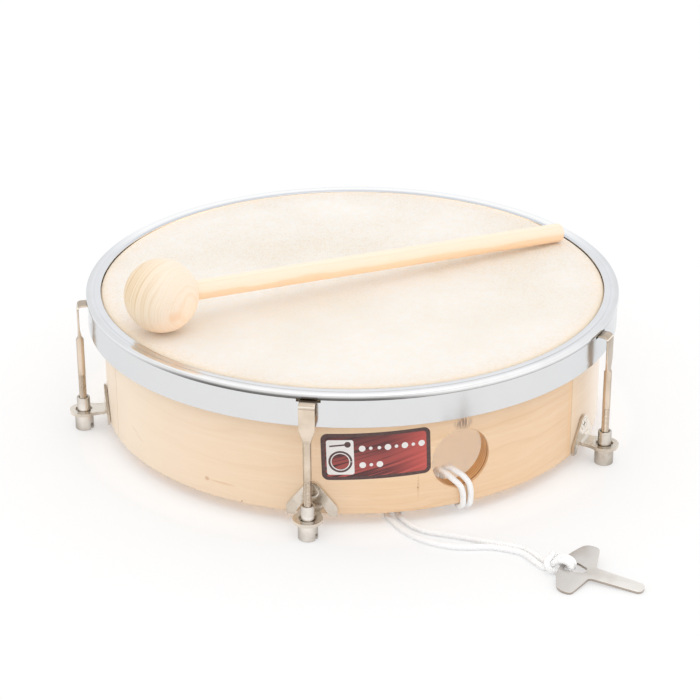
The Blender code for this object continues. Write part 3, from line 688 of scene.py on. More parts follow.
ring_plate("label_drum_rim", on_the_tile(0, -0.0022), 0.0056, 0.0046, 357, 0.00018, label_black)
ring_plate("label_drum_head", on_the_tile(0, -0.0022), 0.0041, 0, 354, 0.00018, label_red)
stick_line = [(-0.0049, 0.0062), (-0.0049, 0.0054), (0.0030, 0.0062), (0.0030, 0.0070)]
stick_line = [on_the_label(on_the_tile(x, y), 0, 0) for x, y in stick_line]
label_layer("label_stick", stick_line, 0.00018, 0.00002, label_black, 0.002)
ring_plate("label_stick_ball", on_the_tile(0.0036, 0.0066), 0.0015, 0, 352, 0.00018, label_black)
for row, (height, strengths) in enumerate(((0.0043, (1, 0, 0, 1, 0, 1, 0, 1)), (-0.0043, (1, 0, 1)))):
    for k, strong in enumerate(strengths):
        ring_plate(f"label_beat_{row + 1}_{k + 1}", on_the_tile(0.0103 + 0.0040 * k, height),
                   0.00155 if strong else 0.00085, 0, 352, 0.00015, label_white)


# Brackets: five arrowhead plates pressed from 1.3 mm nickel-plated steel and rolled to the wall's
# curve, each with a tab bent out of its foot into an eye for the sleeve nut, and one wood screw.
metal_wear, given = effect("metal_wear", {"Place": "NodeSocketVector", "Grit": 500.0},
                           {"Tarnish": 0.0, "Scratches": 0.0})
wire(add(metal_wear, "NodeGroupOutput"), {
    "Tarnish": fade(mottling(given["Place"], 70.0, 5.0, 0.6), 0.42, 0.72),
    "Scratches": mottling(given["Place"], given["Grit"], 4.0, 0.7)})


def plated(name, bright, dull, smooth, rough, bump=0.00001, grit=500.0, edge_reflection_from=0.28, edge_reflection_colour=None):
    """Plated steel that is duller and darker in clouds; a painted reflection turns its colour towards the
    silhouette, darker unless an edge reflection colour is given.
    """
    made, tree, shader = finish_of(name, Metallic=1.0)
    wear = placed(tree, metal_wear, {"Place": own_place(tree), "Grit": grit})
    colour = tinted(bright, dull, wear["Tarnish"], 0.8)
    # Painted reflection: the colour changes with the angle at which the surface is seen.
    edge_reflection = add(tree, "ShaderNodeLayerWeight", {"Blend": 0.5}).outputs["Facing"]
    edge_reflection = fade(edge_reflection, edge_reflection_from, 0.90, high=0.75)
    colour = tinted(colour, edge_reflection_colour or tuple(c * 0.35 for c in dull), edge_reflection)
    speck = times_plus(wear["Scratches"], 0.3, wear["Tarnish"])
    wire(shader, {"Base Color": colour, "Roughness": fade(speck, 0.0, 1.2, smooth, rough)})
    bumped(shader, wear["Scratches"], bump)
    return made


nickel_plate = plated("nickel_plate", (0.68, 0.62, 0.545), (0.47, 0.40, 0.32), 0.18, 0.4,
                      edge_reflection_colour=(0.87, 0.82, 0.75))
hook_circle = 0.1394
hook_count = 5
fit_gap = 0.0003
plate_in = hook_circle - shell_radius - fit_gap
plate_thickness = 0.0013
eye_radius = 0.0071
tab_low = shell_base + 0.0026
tab_thickness = 0.0017
tab_half = 0.005
screw_height = shell_base + 0.0125


def flat_plate(name, outline, low, high):
    """A flat outline in X and Y, given a thickness between two heights, as a mesh."""
    mesh = cut_sheet(name, outline, high - low)
    mesh.transform(Matrix.Translation((0, 0, (low + high) / 2)))
    return mesh


def bevelled(piece, width, segments=2, angle=30):
    edge = piece.modifiers.new("edge", "BEVEL")
    edge.width = width
    edge.segments = segments
    edge.limit_method = "ANGLE"
    edge.angle_limit = math.radians(angle)


# The ring of five: copies of a piece set evenly round the drum's axis, the first at the front
ring_of_five, given = effect("round_the_drum", {
    "Geometry": "NodeSocketGeometry", "Copies": "NodeSocketInt", "Finish": "NodeSocketMaterial"},
    {"Geometry": "NodeSocketGeometry"}, "GeometryNodeTree")
spots = add(ring_of_five, "GeometryNodeMeshLine", {"Count": given["Copies"], "Offset": (0, 0, 0)}).outputs[0]
number = add(ring_of_five, "GeometryNodeInputIndex").outputs[0]
turn = times(maths("DIVIDE", number, given["Copies"]), 2 * math.pi)
turn = add(ring_of_five, "ShaderNodeCombineXYZ", {"Z": turn}).outputs[0]
copies = add(ring_of_five, "GeometryNodeInstanceOnPoints", {"Points": spots, "Instance": given["Geometry"],
                                                             "Rotation": turn}).outputs[0]
copies = add(ring_of_five, "GeometryNodeRealizeInstances", {0: copies}).outputs[0]
copies = add(ring_of_five, "GeometryNodeSetMaterial",
             {"Geometry": copies, "Material": given["Finish"]}).outputs[0]
wire(add(ring_of_five, "NodeGroupOutput"), {0: copies})


def round_the_drum(name, mesh, material, body, node, sharp=35):
    """Five copies of a piece made in its hook's own frame, baked into one mesh."""
    mesh.transform(Matrix.Translation((0, -hook_circle, 0)))
    piece = workpiece(name, mesh, on_the_axis)
    rounds = piece.modifiers.new("round_the_drum", "NODES")
    rounds.node_group = ring_of_five
    for label, value in (("Copies", hook_count), ("Finish", material)):
        rounds[ring_of_five.interface.items_tree[label].identifier] = value
    return finished(name, piece, material, body, [f"{node}_{i + 1}" for i in range(hook_count)], sharp)


def bracket_mesh():
    """Y = 0 is the rod's axis and the shell lies towards +Y."""
    low = shell_base - 0.0004
    foot = shell_base + 0.0045
    apex = foot + 0.0121 * 1.28
    root_top = tab_low + tab_thickness
    half = [(0.0086, low, 0.0004), (0.0121, low, 0.0006), (0.0121, foot, 0.0025)]
    corners = [(-x, z, r) for x, z, r in half] + [(0, apex, 0.0045)]
    corners += [(x, z, r) for x, z, r in reversed(half)]
    corners += [(0.0053, root_top + 0.0003, 0.0004), (-0.0053, root_top + 0.0003, 0.0004)]
    mesh = flat_plate("bracket", rounded(corners), -plate_thickness, 0)
    mesh.transform(Matrix.Rotation(math.pi / 2, 4, "X"))
    shape = bmesh.new()
    shape.from_mesh(mesh)
    sliced(shape, [k * 0.0010 + 0.00003 for k in range(-11, 12)])
    inside = shell_radius + fit_gap
    for v in shape.verts:
        radius = inside + (plate_thickness - v.co.y)
        v.co = Vector((radius * math.sin(v.co.x / inside), hook_circle - radius * math.cos(v.co.x / inside),
                       v.co.z))
    shape.to_mesh(mesh)
    shape.free()
    sheet = workpiece("bracket", mesh)
    plate_out = plate_in - plate_thickness
    side = rounded([(plate_in - 0.0002, tab_low, tab_thickness + 0.0012),
                    (plate_in - 0.0002, root_top + 0.003, 0), (plate_out - 0.0001, root_top + 0.003, 0),
                    (plate_out - 0.0001, root_top, 0.0012), (0.5 * eye_radius, root_top, 0),
                    (0.5 * eye_radius, tab_low, 0)])
    root = flat_plate("tab_root", side, -tab_half, tab_half)
    root.transform(Matrix(((0, 0, 1, 0), (1, 0, 0, 0), (0, 1, 0, 0), (0, 0, 0, 1))))
    neck_out = math.sqrt(eye_radius ** 2 - 0.0058 ** 2)
    eye = [Vector((eye_radius * math.cos(math.radians(a)), eye_radius * math.sin(math.radians(a))))
           for a in range(145, 396, 5)]
    eye += [Vector((tab_half, neck_out + 0.0035)), Vector((-tab_half, neck_out + 0.0035))]
    eye = flat_plate("eye", eye, tab_low, root_top)
    hole = turned("eye_hole", rounded([(0, root_top + 0.001, 0), (0.0048, root_top + 0.001, 0),
                                       (0.0042, root_top - 0.0003, 0.0004), (0.0042, tab_low - 0.001, 0),
                                       (0, tab_low - 0.001, 0)]), 48, closed=False)
    seat = turned("seat", [Vector(p) for p in ((0, 0.0003), (0.0042, 0.0003), (0.0018, -0.0012),
                                               (0.0018, -0.004), (0, -0.004))], 32, closed=False,
                  place=Matrix.Translation((0, plate_out, screw_height))
                  @ Matrix.Rotation(math.pi / 2, 4, "X"))
    joined = [workpiece("tab_root", root), workpiece("eye", eye)]
    cut(sheet, *joined, kind="UNION")
    cut(sheet, hole, seat)
    bevelled(sheet, 0.00018)
    return made_from(sheet, tools=joined + [hole, seat])


round_the_drum("arrowhead_brackets", bracket_mesh(), nickel_plate, "drum", "bracket")

screw = turned("screw", [Vector(p) for p in ((0, -0.0001), (0.0026, -0.0001), (0.00292, -0.00016),
                                             (0.0030, -0.0003), (0.0015, -0.0012), (0.0015, -0.0060),
                                             (0.0006, -0.0074), (0, -0.0075))], 32, closed=False)
screw_drive = []
for turn in (0, math.pi / 2):
    mesh = flat_plate("drive", [(-0.0017, -0.00028), (0.0017, -0.00028), (0.0017, 0.00028),
                                (-0.0017, 0.00028)], -0.0009, 0.001)
    screw_drive.append(workpiece("drive", mesh, Matrix.Rotation(turn, 4, "Z")))
cut(screw, *screw_drive)
screw_mesh = made_from(screw, tools=screw_drive)
screw_mesh.transform(Matrix.Translation((0, plate_in - plate_thickness, screw_height))
                     @ Matrix.Rotation(math.pi / 2, 4, "X"))
round_the_drum("bracket_screws", screw_mesh, nickel_plate, "drum", "bracket_screw")


# Flesh hoop: a flat steel ring just outside the shell, rolled and welded, that the wet skin was
# lapped on; the counterhoop's flange pulls it down.
hoop_steel = plated("hoop_steel", (0.55, 0.54, 0.52), (0.40, 0.37, 0.34), 0.35, 0.6)
skin_thickness = 0.0006
rim_top = shell_top + fit_gap + skin_thickness + 0.0002
rim_metal = 0.001
hoop_inner = shell_radius + 2 * fit_gap + skin_thickness
hoop_outer = hoop_inner + 0.0029
hoop_top = rim_top - rim_metal - 2 * fit_gap - skin_thickness
hoop_bottom = hoop_top - 0.006
hoop = turned("flesh_hoop", rounded([
    (hoop_outer, hoop_top, 0.0009), (hoop_outer, hoop_bottom, 0.0009), (hoop_inner, hoop_bottom, 0.0009),
    (hoop_inner, hoop_top, 0.0009)], 22), 240, place=on_the_axis)
finished("lapped_hoop", hoop, hoop_steel, "drum", ["flesh_hoop"])


# Head: one goatskin, soaked, pulled over the bearing edge, down inside the flesh hoop, round it and
# back over its top; dried cream with cloudy mottling and a yellower, stretched rim.
goatskin, tree, shader = finish_of("goatskin", Roughness=0.62, Specular_IOR_Level=0.35, Sheen_Weight=0.1)
grain_mm, along, up, out = round_frame(tree)
place = own_place(tree)
clouds = mottling(place, 16.0, 4.0, 0.55)
pores = add(tree, "ShaderNodeTexVoronoi", {"Vector": place, "Scale": 900.0, "Randomness": 1.0}).outputs[0]
fibres = mottling(place, 260.0, 5.0, 0.7)
hide = ramp(clouds, (0.30, (0.72, 0.71, 0.68)), (0.5, (0.745, 0.75, 0.75)), (0.72, (0.765, 0.775, 0.785)))
hide = tinted(hide, (0.76, 0.71, 0.63), ramp(fibres, (0.40, 0.4), (0.60, 0)))
specks = mottling(place, 1700.0, 2.0, 0.7)
specks = times(ramp(specks, (0.54, 0), (0.66, 0.7)), fade(clouds, 0.72, 0.38))
drier = fade(split_up(place)["Y"], -0.05, 0.08, 0.45, 2.1)
hide = tinted(hide, (0.60, 0.50, 0.35), times(specks, drier))
mottle = ramp(mottling(place, 700.0, 3.0, 0.75), (0.47, 0), (0.60, 1))
near_rim = fade(times_plus(clouds, 16.0, out), 122.0, 138.0, high=0.55)
hide = tinted(hide, (0.64, 0.52, 0.36), times(mottle, near_rim))
rim_band = fade(times_plus(clouds, 14.0, out), 126.0, 136.0)
hide = tinted(hide, (0.78, 0.71, 0.59), rim_band, 0.4)
edge_band = fade(times_plus(fibres, 3.0, out), 125.4, 129.2)
edge_band = times(edge_band, fade(maths("ABSOLUTE", along), 290.0, 230.0, high=0.65))
hide = tinted(hide, (0.72, 0.60, 0.43), edge_band)
# Painted glow: the skin's outer edge at the back emits a little light, lifting the shade in the crevice
# under the rim.
back_edge_glow = maths("ABSOLUTE", minus(along, along_to(16)))
back_edge_glow = fade(back_edge_glow, along_to(114), along_to(126))
back_edge_glow = times(back_edge_glow, maths("GREATER_THAN", out, 125.6))
wire(shader, {"Base Color": hide, "Emission Strength": 1.0,
              "Emission Color": tinted((0.0, 0.0, 0.0), (0.27, 0.26, 0.245), back_edge_glow)})
goatskin.cycles.emission_sampling = "NONE"
bumped(shader, times_plus(pores, 0.3, fibres), 0.00006)
bounced = add(tree, "ShaderNodeLightPath").outputs["Is Diffuse Ray"]
glow = tinted((0.126, 0.131, 0.112), (0.52, 0.39, 0.21), bounced)
glow = add(tree, "ShaderNodeBsdfTranslucent", {"Color": glow}).outputs[0]
through = add(tree, "ShaderNodeAddShader", {0: shader.outputs[0], 1: glow}).outputs[0]
wire(tree.nodes["Material Output"], {"Surface": through})

skin_outer = shell_radius + fit_gap + skin_thickness
head_top = shell_top + fit_gap + skin_thickness
lap_outer = hoop_outer + fit_gap + skin_thickness
lap_top = hoop_top + fit_gap + skin_thickness
lap_bottom = hoop_bottom - fit_gap - skin_thickness
shoulder = 0.002 + fit_gap
head = rounded([(0, head_top, 0), (skin_outer, head_top, shoulder + skin_thickness),
                (skin_outer, hoop_bottom - fit_gap, 0), (hoop_outer + fit_gap, hoop_bottom - fit_gap, 0),
                (hoop_outer + fit_gap, hoop_top + fit_gap, 0), (hoop_outer - 0.0022, hoop_top + fit_gap, 0),
                (hoop_outer - 0.0022, lap_top, 0.0002), (lap_outer, lap_top, 0.0006),
                (lap_outer, lap_bottom, 0.0006), (shell_radius + fit_gap, lap_bottom, 0.0006),
                (shell_radius + fit_gap, head_top - skin_thickness, shoulder),
                (0, head_top - skin_thickness, 0)], 12)
rows = [Vector((0.015 * k, head_top)) for k in range(1, 8)]
under_rows = [Vector((0.015 * k, head_top - skin_thickness)) for k in range(7, 0, -1)]
head = head[:1] + rows + head[1:-1] + under_rows + head[-1:]
head = turned("skin_head", head, 256, closed=False, place=on_the_axis)
finished("goatskin_head", head, goatskin, "drum", ["drum_head"])


# Counterhoop: a strip of 1 mm steel rolled to a flanged section with a bead at its shoulder, butt
# welded at the back, slit for the five hooks, then polished and plated.
polished_rim, tree, shader = finish_of("polished_rim", Metallic=1.0, Specular_Tint=(0.85, 0.87, 0.885, 1))
grain_mm, along, up, out = round_frame(tree)
wear = placed(tree, metal_wear, {"Place": own_place(tree), "Grit": 700.0})
strokes = mottling(stretched(grain_mm, (0.05, 6.0, 6.0)), 1.0, 4.0, 0.7)
skirt = fade(up, 71.4, 69.6)
# Painted reflection: the flange is coloured lighter than the skirt of the same steel.
steel = tinted((0.82, 0.83, 0.855), (0.655, 0.66, 0.67), skirt)
# Painted highlight: the bead's crown is white at the front and grey-blue away from it.
crown_highlight = times(fade(out, 132.2, 133.5), minus(1.0, skirt))
turn = maths("DIVIDE", along, along_to(1))
off_front = fade(maths("ABSOLUTE", minus(turn, 14.0)), 34.0, 60.0)
steel = tinted(steel, tinted((1.0, 1.0, 1.0), (0.775, 0.785, 0.80), off_front), crown_highlight)
steel = tinted(steel, (0.62, 0.61, 0.59), wear["Tarnish"], 0.15)
steel = tinted(steel, (0.60, 0.59, 0.58), strokes, 0.10)
from_left = fade(turn, -45.0, -20.0, 0.15, smooth=True)
to_right = fade(turn, 12.0, 30.0, 1.0, 0.30, smooth=True)
bead_shade = times(fade(up, 72.1, 70.5), maths("GREATER_THAN", up, 69.3))
bead_shade = times(from_left, to_right, bead_shade)
steel = tinted(steel, (0.15, 0.145, 0.14), bead_shade)
# Painted shade: a grey line in the valley between flange and bead, faded away from the front.
valley_shade = times(spot(out, out, (130.9, 130.9), (0.6, 0.6)), times_plus(off_front, -0.85, 1.0))
steel = tinted(steel, (0.50, 0.48, 0.46), valley_shade, 0.5)
# Painted reflection at the back: the flange's inner part is bluish grey and its outer part white.
back_reflection = fade(maths("ABSOLUTE", minus(turn, 9.0)), 102.0, 122.0)
back_reflection = times(back_reflection, minus(1.0, skirt))
steel = tinted(steel, (0.60, 0.65, 0.72), back_reflection, 0.7)
steel = tinted(steel, (1.0, 1.0, 1.0), times(back_reflection, fade(out, 128.4, 129.6)))
weld = times(maths("COMPARE", along, along_to(173), 0.5), skirt)
steel = tinted(steel, (0.45, 0.43, 0.40), weld, 0.3)
gloss = fade(plus(strokes, times(wear["Tarnish"], 0.4)), 0.3, 1.1, 0.10, 0.24)
wire(shader, {"Base Color": steel, "Roughness": gloss})
bumped(shader, plus(strokes, times(wear["Scratches"], 0.2)), 0.000004)

strap_thickness = 0.001
tail_inner = lap_outer + fit_gap
skirt_inner = tail_inner + strap_thickness + fit_gap
skirt_outer = skirt_inner + rim_metal
bead_outer = skirt_outer + 0.0005
strap_top = rim_top - 0.0031
flange_inner = skin_outer - 0.0003
rim = turned("rolled_rim", rounded([
    (flange_inner, rim_top - 0.0003, 0.0003), (0.1290, rim_top - 0.00005, 0.0015),
    (0.1311, rim_top - 0.0004, 0.0004), (0.1317, rim_top, 0.0008), (bead_outer, rim_top, 0.0020),
    (bead_outer, rim_top - 0.0024, 0.0006), (skirt_outer, rim_top - 0.0029, 0.0002),
    (skirt_outer, rim_top - 0.0169, 0.0003), (skirt_inner, rim_top - 0.0169, 0.0003),
    (skirt_inner, rim_top - rim_metal, 0.0012), (flange_inner, rim_top - rim_metal, 0.0004)], 15), 288,
    place=on_the_axis)
slit_tools = []
for i in range(hook_count):
    mesh = flat_plate("slit", rounded([(-0.00575, -0.137, 0), (0.00575, -0.137, 0), (0.00575, -0.1323, 0),
                                       (-0.00575, -0.1323, 0)]), strap_top - strap_thickness - fit_gap,
                      strap_top + fit_gap)
    around = Matrix.Rotation(2 * math.pi * i / hook_count, 4, "Z")
    slit_tools.append(workpiece("slit", mesh, on_the_axis @ around))
cut(rim, *slit_tools)
finished("slit_counterhoop", rim, polished_rim, "hoop_and_hooks", ["counterhoop"], 30,
         tools=slit_tools)


# Hook bolts: M4 steel rod, threaded over its lower half, its top hammered flat, bent over the slit's
# sill and hooked down behind the skirt; nickel plated.
bright_nickel = plated("bright_nickel", (0.71, 0.60, 0.49), (0.50, 0.41, 0.31), 0.10, 0.30)


def reopened(material):
    """A finished material's tree, shader and the colour that it has so far."""
    shader = material.node_tree.nodes["Principled BSDF"]
    return material.node_tree, shader, shader.inputs["Base Color"].links[0].from_socket


tree, shader, worn_and_lit_colour = reopened(bright_nickel)
height_mm = round_frame(tree)[2]
# Painted shade and highlight on the hooks: a dark line at 66.9 mm and a bright band at 67.9 mm above the
# table, at the bend over the slit.
for height, spread, colour, strength in ((66.9, 0.45, (0.25, 0.19, 0.13), 0.55),
                                         (67.9, 0.6, (0.97, 0.90, 0.80), 0.8)):
    bend = spot(height_mm, height_mm, (height, height), (spread, spread))
    worn_and_lit_colour = tinted(worn_and_lit_colour, colour, bend, strength)
wire(shader, {"Base Color": worn_and_lit_colour})
rod_radius = 0.00195
thread_pitch = 0.0007
thread_depth = 0.00036
bend_radius = 0.0021
strap_width = 0.0077


def hook_mesh():
    """Sections along the bolt's centre line, from a threaded round rod to a flat strap, lofted."""
    strap_out = 0.0003
    strap_mid = strap_top - strap_thickness / 2
    tail_out = (tail_inner + strap_thickness / 2) - hook_circle
    tail_bend = strap_thickness / 2 + 0.0004
    flat = (strap_width / 2, strap_thickness / 2, 0.25)
    round_bar = (rod_radius, rod_radius, 1.0)
    stations = [((0, 0.0055), 90, (rod_radius * 0.72, rod_radius * 0.72, 1.0))]
    stations += [((0, 0.0058 + thread_pitch / 7 * k), 90, "thread") for k in range(248)]
    stations += [((0, 0.0308), 90, round_bar), ((0, 0.0494), 90, round_bar)]
    for k in range(25):
        t = k / 24
        ease = t * t * (3 - 2 * t)
        step = min(1, t / 0.16)
        wide = rod_radius * (1 + 0.06 * step) + (strap_width / 2 - rod_radius * (1 + 0.06 * step)) * ease
        deep = rod_radius + (0.00105 - rod_radius) * step + (strap_thickness / 2 - 0.00105) * ease
        stations.append(((strap_out * ease, 0.0497 + 0.0073 * t), 90,
                         (wide, deep, 1 - 0.45 * step - 0.30 * ease)))
    for angle in range(0, 91, 10):
        a = math.radians(angle)
        stations.append(((strap_out - bend_radius * (1 - math.cos(a)),
                          strap_mid - bend_radius * (1 - math.sin(a))), 90 + angle, flat))
    for angle in range(0, 91, 15):
        a = math.radians(angle)
        stations.append(((tail_out + tail_bend * (1 - math.sin(a)), strap_mid - tail_bend
                          * (1 - math.cos(a))), 180 + angle, flat))
    stations.append(((tail_out, strap_mid - 0.0038), 270, flat))
    stations.append(((tail_out, strap_mid - 0.0040), 270,
                     (strap_width / 2 - 0.0002, strap_thickness / 2 - 0.0002, 0.25)))
    sides = 28
    shape = bmesh.new()
    rings = []
    for (out_by, z), heading, section in stations:
        h = math.radians(heading)
        across = Vector((0, -math.sin(h), -math.cos(h)))
        ring = []
        for k in range(sides):
            t = 2 * math.pi * (k + 0.5) / sides
            c, s = math.cos(t), math.sin(t)
            if section == "thread":
                turn = (z / thread_pitch - t / (2 * math.pi)) % 1
                runs_out = min(1, max(0, (0.0306 - z) / thread_pitch))
                deep = thread_depth * abs(2 * turn - 1) * runs_out
                x, d = (rod_radius - deep) * c, (rod_radius - deep) * s
            else:
                half_width, half_depth, power = section
                x = half_width * math.copysign(abs(c) ** power, c)
                d = half_depth * math.copysign(abs(s) ** power, s)
            ring.append(shape.verts.new(Vector((x, -out_by, z)) + across * d))
        rings.append(ring)
    for below, above in zip(rings, rings[1:]):
        for k in range(sides):
            n = (k + 1) % sides
            shape.faces.new((below[k], below[n], above[n], above[k]))
    shape.faces.new(list(reversed(rings[0])))
    shape.faces.new(rings[-1])
    bmesh.ops.recalc_face_normals(shape, faces=shape.faces)
    mesh = bpy.data.meshes.new("hook_bolt")
    shape.to_mesh(mesh)
    shape.free()
    return mesh


round_the_drum("hook_bolts", hook_mesh(), bright_nickel, "hoop_and_hooks", "tension_hook", 45)


# Sleeve nuts: turned brass sleeves, nickel plated, that run up through the brackets' eyes; each has
# a collar below with a slot across its foot for the key. The drum stands on them.
nut_nickel = plated("nut_nickel", (0.81, 0.77, 0.72), (0.46, 0.40, 0.33), 0.10, 0.30, edge_reflection_from=0.08)
nut = turned("sleeve_nut", rounded([
    (0.0034, 0.0176, 0.0005), (0.0034, 0.0086, 0), (0.00475, 0.0086, 0.0006), (0.00475, 0, 0.0005),
    (rod_radius + fit_gap, 0, 0.0002), (rod_radius + fit_gap, 0.0176, 0.0003)], 15), 64)
nut_slot = workpiece("nut_slot", flat_plate("nut_slot", [(-0.01, -0.001), (0.01, -0.001), (0.01, 0.001),
                                                        (-0.01, 0.001)], -0.001, 0.0035))
cut(nut, nut_slot)
bevelled(nut, 0.00012, 2, 50)
nut_mesh = made_from(nut, tools=[nut_slot])
for i, spin in enumerate((-22, -63, 80, 10, 50)):
    turn = 2 * math.pi * i / hook_count
    place = (on_the_axis @ Matrix.Rotation(turn, 4, "Z") @ Matrix.Translation((0, -hook_circle, 0))
             @ Matrix.Rotation(math.radians(spin), 4, "Z"))
    finished(f"sleeve_nut_{i + 1}", workpiece("nut", nut_mesh.copy(), place), nut_nickel, f"nut_{i + 1}",
             [f"tension_nut_{i + 1}"])


# Beater: a turned beech ball bored for a birch dowel that is glued in, left with clear wax. It lies
# on the head, ball at the left front.
def own_grain(mesh, place):
    """Keeps the piece's own millimetres on the mesh, so that its figure lies in its own frame."""
    kept = mesh.attributes.new("own_mm", "FLOAT_VECTOR", "POINT")
    back = place.inverted()
    for vertex, value in zip(mesh.vertices, kept.data):
        value.vector = (back @ vertex.co) * 1000


def laid(at, direction, forward, up):
    """A place in space with one of its axes turned towards a direction."""
    return Matrix.Translation(at) @ direction.to_track_quat(forward, up).to_matrix().to_4x4()


def own_mm(tree):
    return add(tree, "ShaderNodeAttribute", attribute_name="own_mm").outputs["Vector"]


def distance_from(tree, place):
    node = add(tree, "ShaderNodeVectorMath", {0: own_place(tree), 1: place}, operation="DISTANCE")
    return node.outputs["Value"]


def waxed_wood(name, pale, dark, ring_width, waviness):
    made, tree, shader = finish_of(name, Roughness=0.42, Specular_IOR_Level=0.4)
    figure = placed(tree, wood_effect, {"Grain Frame": own_mm(tree), "Ring Width": ring_width,
                                        "Waviness": waviness})
    tint = ramp(figure["Bands"], (0.26, dark), (0.42, tuple((a + b) / 2 for a, b in zip(pale, dark))),
                (0.52, pale))
    tint = tinted(tint, tuple(c * 0.85 for c in dark), ramp(figure["Pores"], (0.36, 0.4), (0.46, 0)))
    wire(shader, {"Base Color": tint})
    bumped(shader, figure["Pores"], 0.00004)
    return made


ball_wood = waxed_wood("ball_wood", (0.94, 0.81, 0.665), (0.91, 0.75, 0.57), 1.7, 2.6)
dowel_wood = waxed_wood("dowel_wood", (0.94, 0.775, 0.60), (0.87, 0.66, 0.44), 1.8, 1.6)
ball_radius = 0.018
stick_radius = 0.0049


def on_the_head(inset, turn, z):
    radius = shell_radius - inset
    angle = math.radians(turn)
    return drum_axis + Vector((radius * math.cos(angle), radius * math.sin(angle), head_top + fit_gap + z))


ball_centre = on_the_head(0.01612, 222.843, ball_radius)
stick_end = on_the_head(0.00549, 33.690, stick_radius)
tree, shader, tint = reopened(ball_wood)
split = split_up(own_place(tree))
# Painted shade: the ball's left side is painted darker and yellower, and the same mask holds its dark grain
# streaks to that side.
shaded_left = fade(split["X"], ball_centre.x + 0.004, ball_centre.x - 0.018, high=0.7)
tint = tinted(tint, (0.88, 0.68, 0.42), shaded_left)
bands = next(n for n in tree.nodes if n.type == "GROUP").outputs["Bands"]
upper = fade(split["Z"], ball_centre.z - 0.006, ball_centre.z + 0.006, 0.25)
streaks = times(ramp(bands, (0.44, 1), (0.52, 0)), shaded_left, upper)
tint = tinted(tint, (0.60, 0.37, 0.12), streaks)
patch_at = ball_centre + Vector((0.0096, -0.0145, -0.0045))
patch = fade(distance_from(tree, patch_at), 0.0045, 0.001, high=0.45, smooth=True)
wire(shader, {"Base Color": tinted(tint, (0.86, 0.55, 0.32), patch)})
beater_way = laid(ball_centre, stick_end - ball_centre, "Z", "Y")
stick_length = (stick_end - ball_centre).length

ball_profile = [Vector((ball_radius * math.sin(math.pi * k / 48), ball_radius * math.cos(math.pi * k / 48)))
                for k in range(49)]
ball_profile[0].x = ball_profile[-1].x = 0
ball = turned("ball", ball_profile, 72, closed=False, place=beater_way)
ball_bore = turned("ball_bore", [(0, 0.03), (0.0052, 0.03), (0.0052, -0.0043), (0, -0.0043)], 48,
                   closed=False, place=beater_way)
cut(ball, ball_bore)
ball = finished("beater_ball_turned", ball, ball_wood, "beater", ["beater_ball"],
                tools=[ball_bore])
ball_pith = Vector((0.52803, -0.67829, -0.15)).normalized()
own_grain(ball.data, laid(ball_centre, ball_pith, "Y", "X"))
stick = turned("stick", with_rows(rounded([(0, stick_length, 0), (stick_radius, stick_length, 0.0016),
                                           (stick_radius, -0.004, 0.0005), (0, -0.004, 0)]), 0.01)[:-1], 48,
               closed=False, place=beater_way)
tree, shader, tint = reopened(dowel_wood)
own = own_mm(tree)
# Painted light and shade: the dowel's top is painted paler and its underside darker orange, split along a
# wavy line.
shade_line = times_plus(mottling(own, 0.03, 2.0), 4.0, split_up(own)["Z"])
shaded_underside = fade(shade_line, 3.0, 1.8)
lit_and_shaded_tones = tinted((1.0, 0.88, 0.73), (0.90, 0.66, 0.41), shaded_underside)
wire(shader, {"Base Color": tinted(tint, lit_and_shaded_tones, 0.5)})
stick = finished("beater_dowel", stick, dowel_wood, "beater", ["beater_stick"])
own_grain(stick.data, laid(ball_centre, stick_end - ball_centre, "X", "Z"))


# Tuning key: blanked from 1.5 mm steel and nickel plated, a blade for the nuts' slots, two wings for
# the fingers and a slot for the cord; it leans on the cord under one wing and its plate is worn.
key_nickel = plated("key_nickel", (0.88, 0.85, 0.81), (0.70, 0.66, 0.61), 0.2, 0.45, 0.00002, 350.0,
                    edge_reflection_colour=(0.90, 0.88, 0.85))
neck, span, blade = 0.0235, 0.0175, 0.0035
half_key = [(-neck, blade + 0.0004, 0.0020), (-neck - 0.0034, span, 0.0026),
            (-neck - 0.0102, span, 0.0055), (-0.0383, span * 0.42, 0.010)]
key_corners = [(0.001, -blade * 0.85, 0.0025), (0.001, blade * 0.85, 0.0025)] + half_key
key_corners += [(x, -y, r) for x, y, r in reversed(half_key)]
key = workpiece("key", flat_plate("key", rounded(key_corners), 0, 0.0015))
slot_line = rounded([
    (-0.0266, -0.0018, 0.0017), (-0.0266, 0.0018, 0.0017), (-0.0315, 0.0034, 0.003),
    (-0.0369, 0.0034, 0.0015), (-0.0369, -0.0034, 0.0015), (-0.0315, -0.0034, 0.003)])
key_slot = workpiece("key_slot", flat_plate("key_slot", slot_line, -0.001, 0.0025))
cut(key, key_slot)
bevelled(key, 0.00025, 3)
key_mesh = made_from(key, tools=[key_slot])
key_rest = Vector((neck + 0.0055, span - blade, 0)).normalized()
key_corner = Vector((0, -blade * 0.85, 0))
key_way = (Matrix.Translation(drum_axis + key_tip) @ Matrix.Rotation(key_heading, 4, "Z")
           @ Matrix.Translation(key_corner) @ Matrix.Rotation(math.radians(9.5), 4, key_rest)
           @ Matrix.Translation(-key_corner))
tree, shader, worn_and_lit_colour = reopened(key_nickel)
split = split_up(own_mm(tree))
handled = fade(split["X"], -17.0, -30.0)
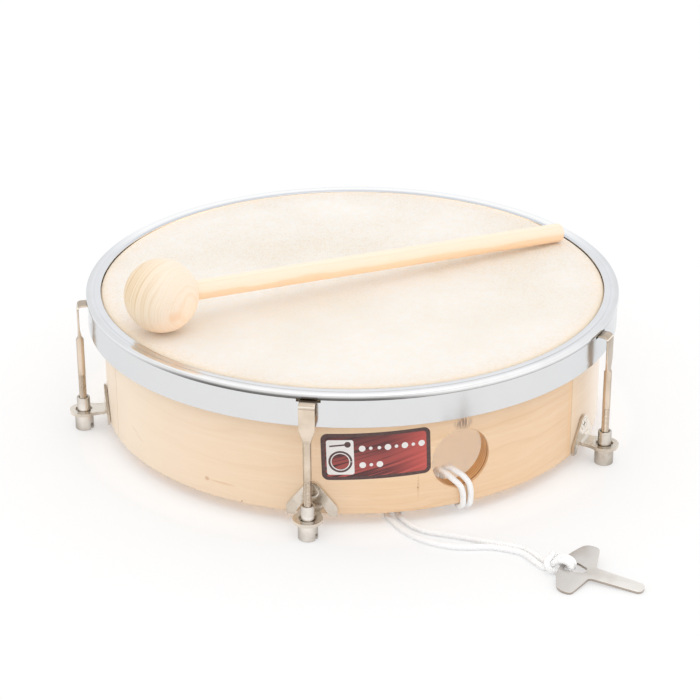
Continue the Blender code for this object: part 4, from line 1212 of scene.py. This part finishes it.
worn_and_lit_colour = tinted(worn_and_lit_colour, (0.68, 0.65, 0.62), handled)
# Painted shade: the plate's sides and underside, below the top bevel, are darker.
shaded_sides = fade(split["Z"], 1.34, 1.24, high=0.8)
worn_and_lit_colour = tinted(worn_and_lit_colour, (0.34, 0.28, 0.23), shaded_sides)
wire(shader, {"Base Color": worn_and_lit_colour})
key = finished("winged_key", workpiece("key", key_mesh, key_way), key_nickel, "drum", ["tuning_key"])
own_grain(key.data, key_way)


# Table, light and backdrop: a white table that looks white wherever the drum doesn't shade it, one
# wide soft lamp high at the front, and an even white room all round that metal can mirror.
table_mesh = bpy.data.meshes.new("table")
table_mesh.from_pydata([(-6, -6, 0), (6, -6, 0), (6, 6, 0), (-6, 6, 0)], [], [(0, 1, 2, 3)])
table = set_out("table", table_mesh)
white_table, tree, shader = finish_of("white_table", Roughness=0.9, Specular_IOR_Level=0.0,
                                      Emission_Color=(1, 1, 1, 1))
path = add(tree, "ShaderNodeLightPath").outputs
open_floor = times(fade(distance_from(tree, drum_axis), 0.122, 0.148), path["Is Camera Ray"])
seen = maths("ADD", path["Is Camera Ray"], path["Is Glossy Ray"], clamp=True)
seen = times_plus(open_floor, 0.25, times(seen, 0.30))
wire(shader, {"Base Color": tinted((0.80, 0.80, 0.80), (0.42, 0.42, 0.42), open_floor),
              "Emission Strength": seen})
table_mesh.materials.append(white_table)

lamp_data = bpy.data.lights.new("soft_lamp", "AREA")
lamp_data.shape = "DISK"
lamp_data.size = 1.1
lamp_data.energy = 2.5
lamp = set_out("soft_lamp", lamp_data)
lamp_from = Vector((0.35, -0.45, 1.6))
lamp.matrix_world = laid(lamp_from, -lamp_from, "-Z", "Y")

world = bpy.data.worlds.new("white_studio")
scene.world = world
world.use_nodes = True
tree = world.node_tree
path = add(tree, "ShaderNodeLightPath").outputs
seen = plus(path["Is Camera Ray"], path["Is Glossy Ray"])
seen = maths("ADD", seen, path["Is Transmission Ray"], clamp=True)
wire(tree.nodes["Background"], {"Color": (1, 1, 1, 1), "Strength": fade(seen, low=1.05, high=1.0)})

scene.view_settings.view_transform = "Standard"
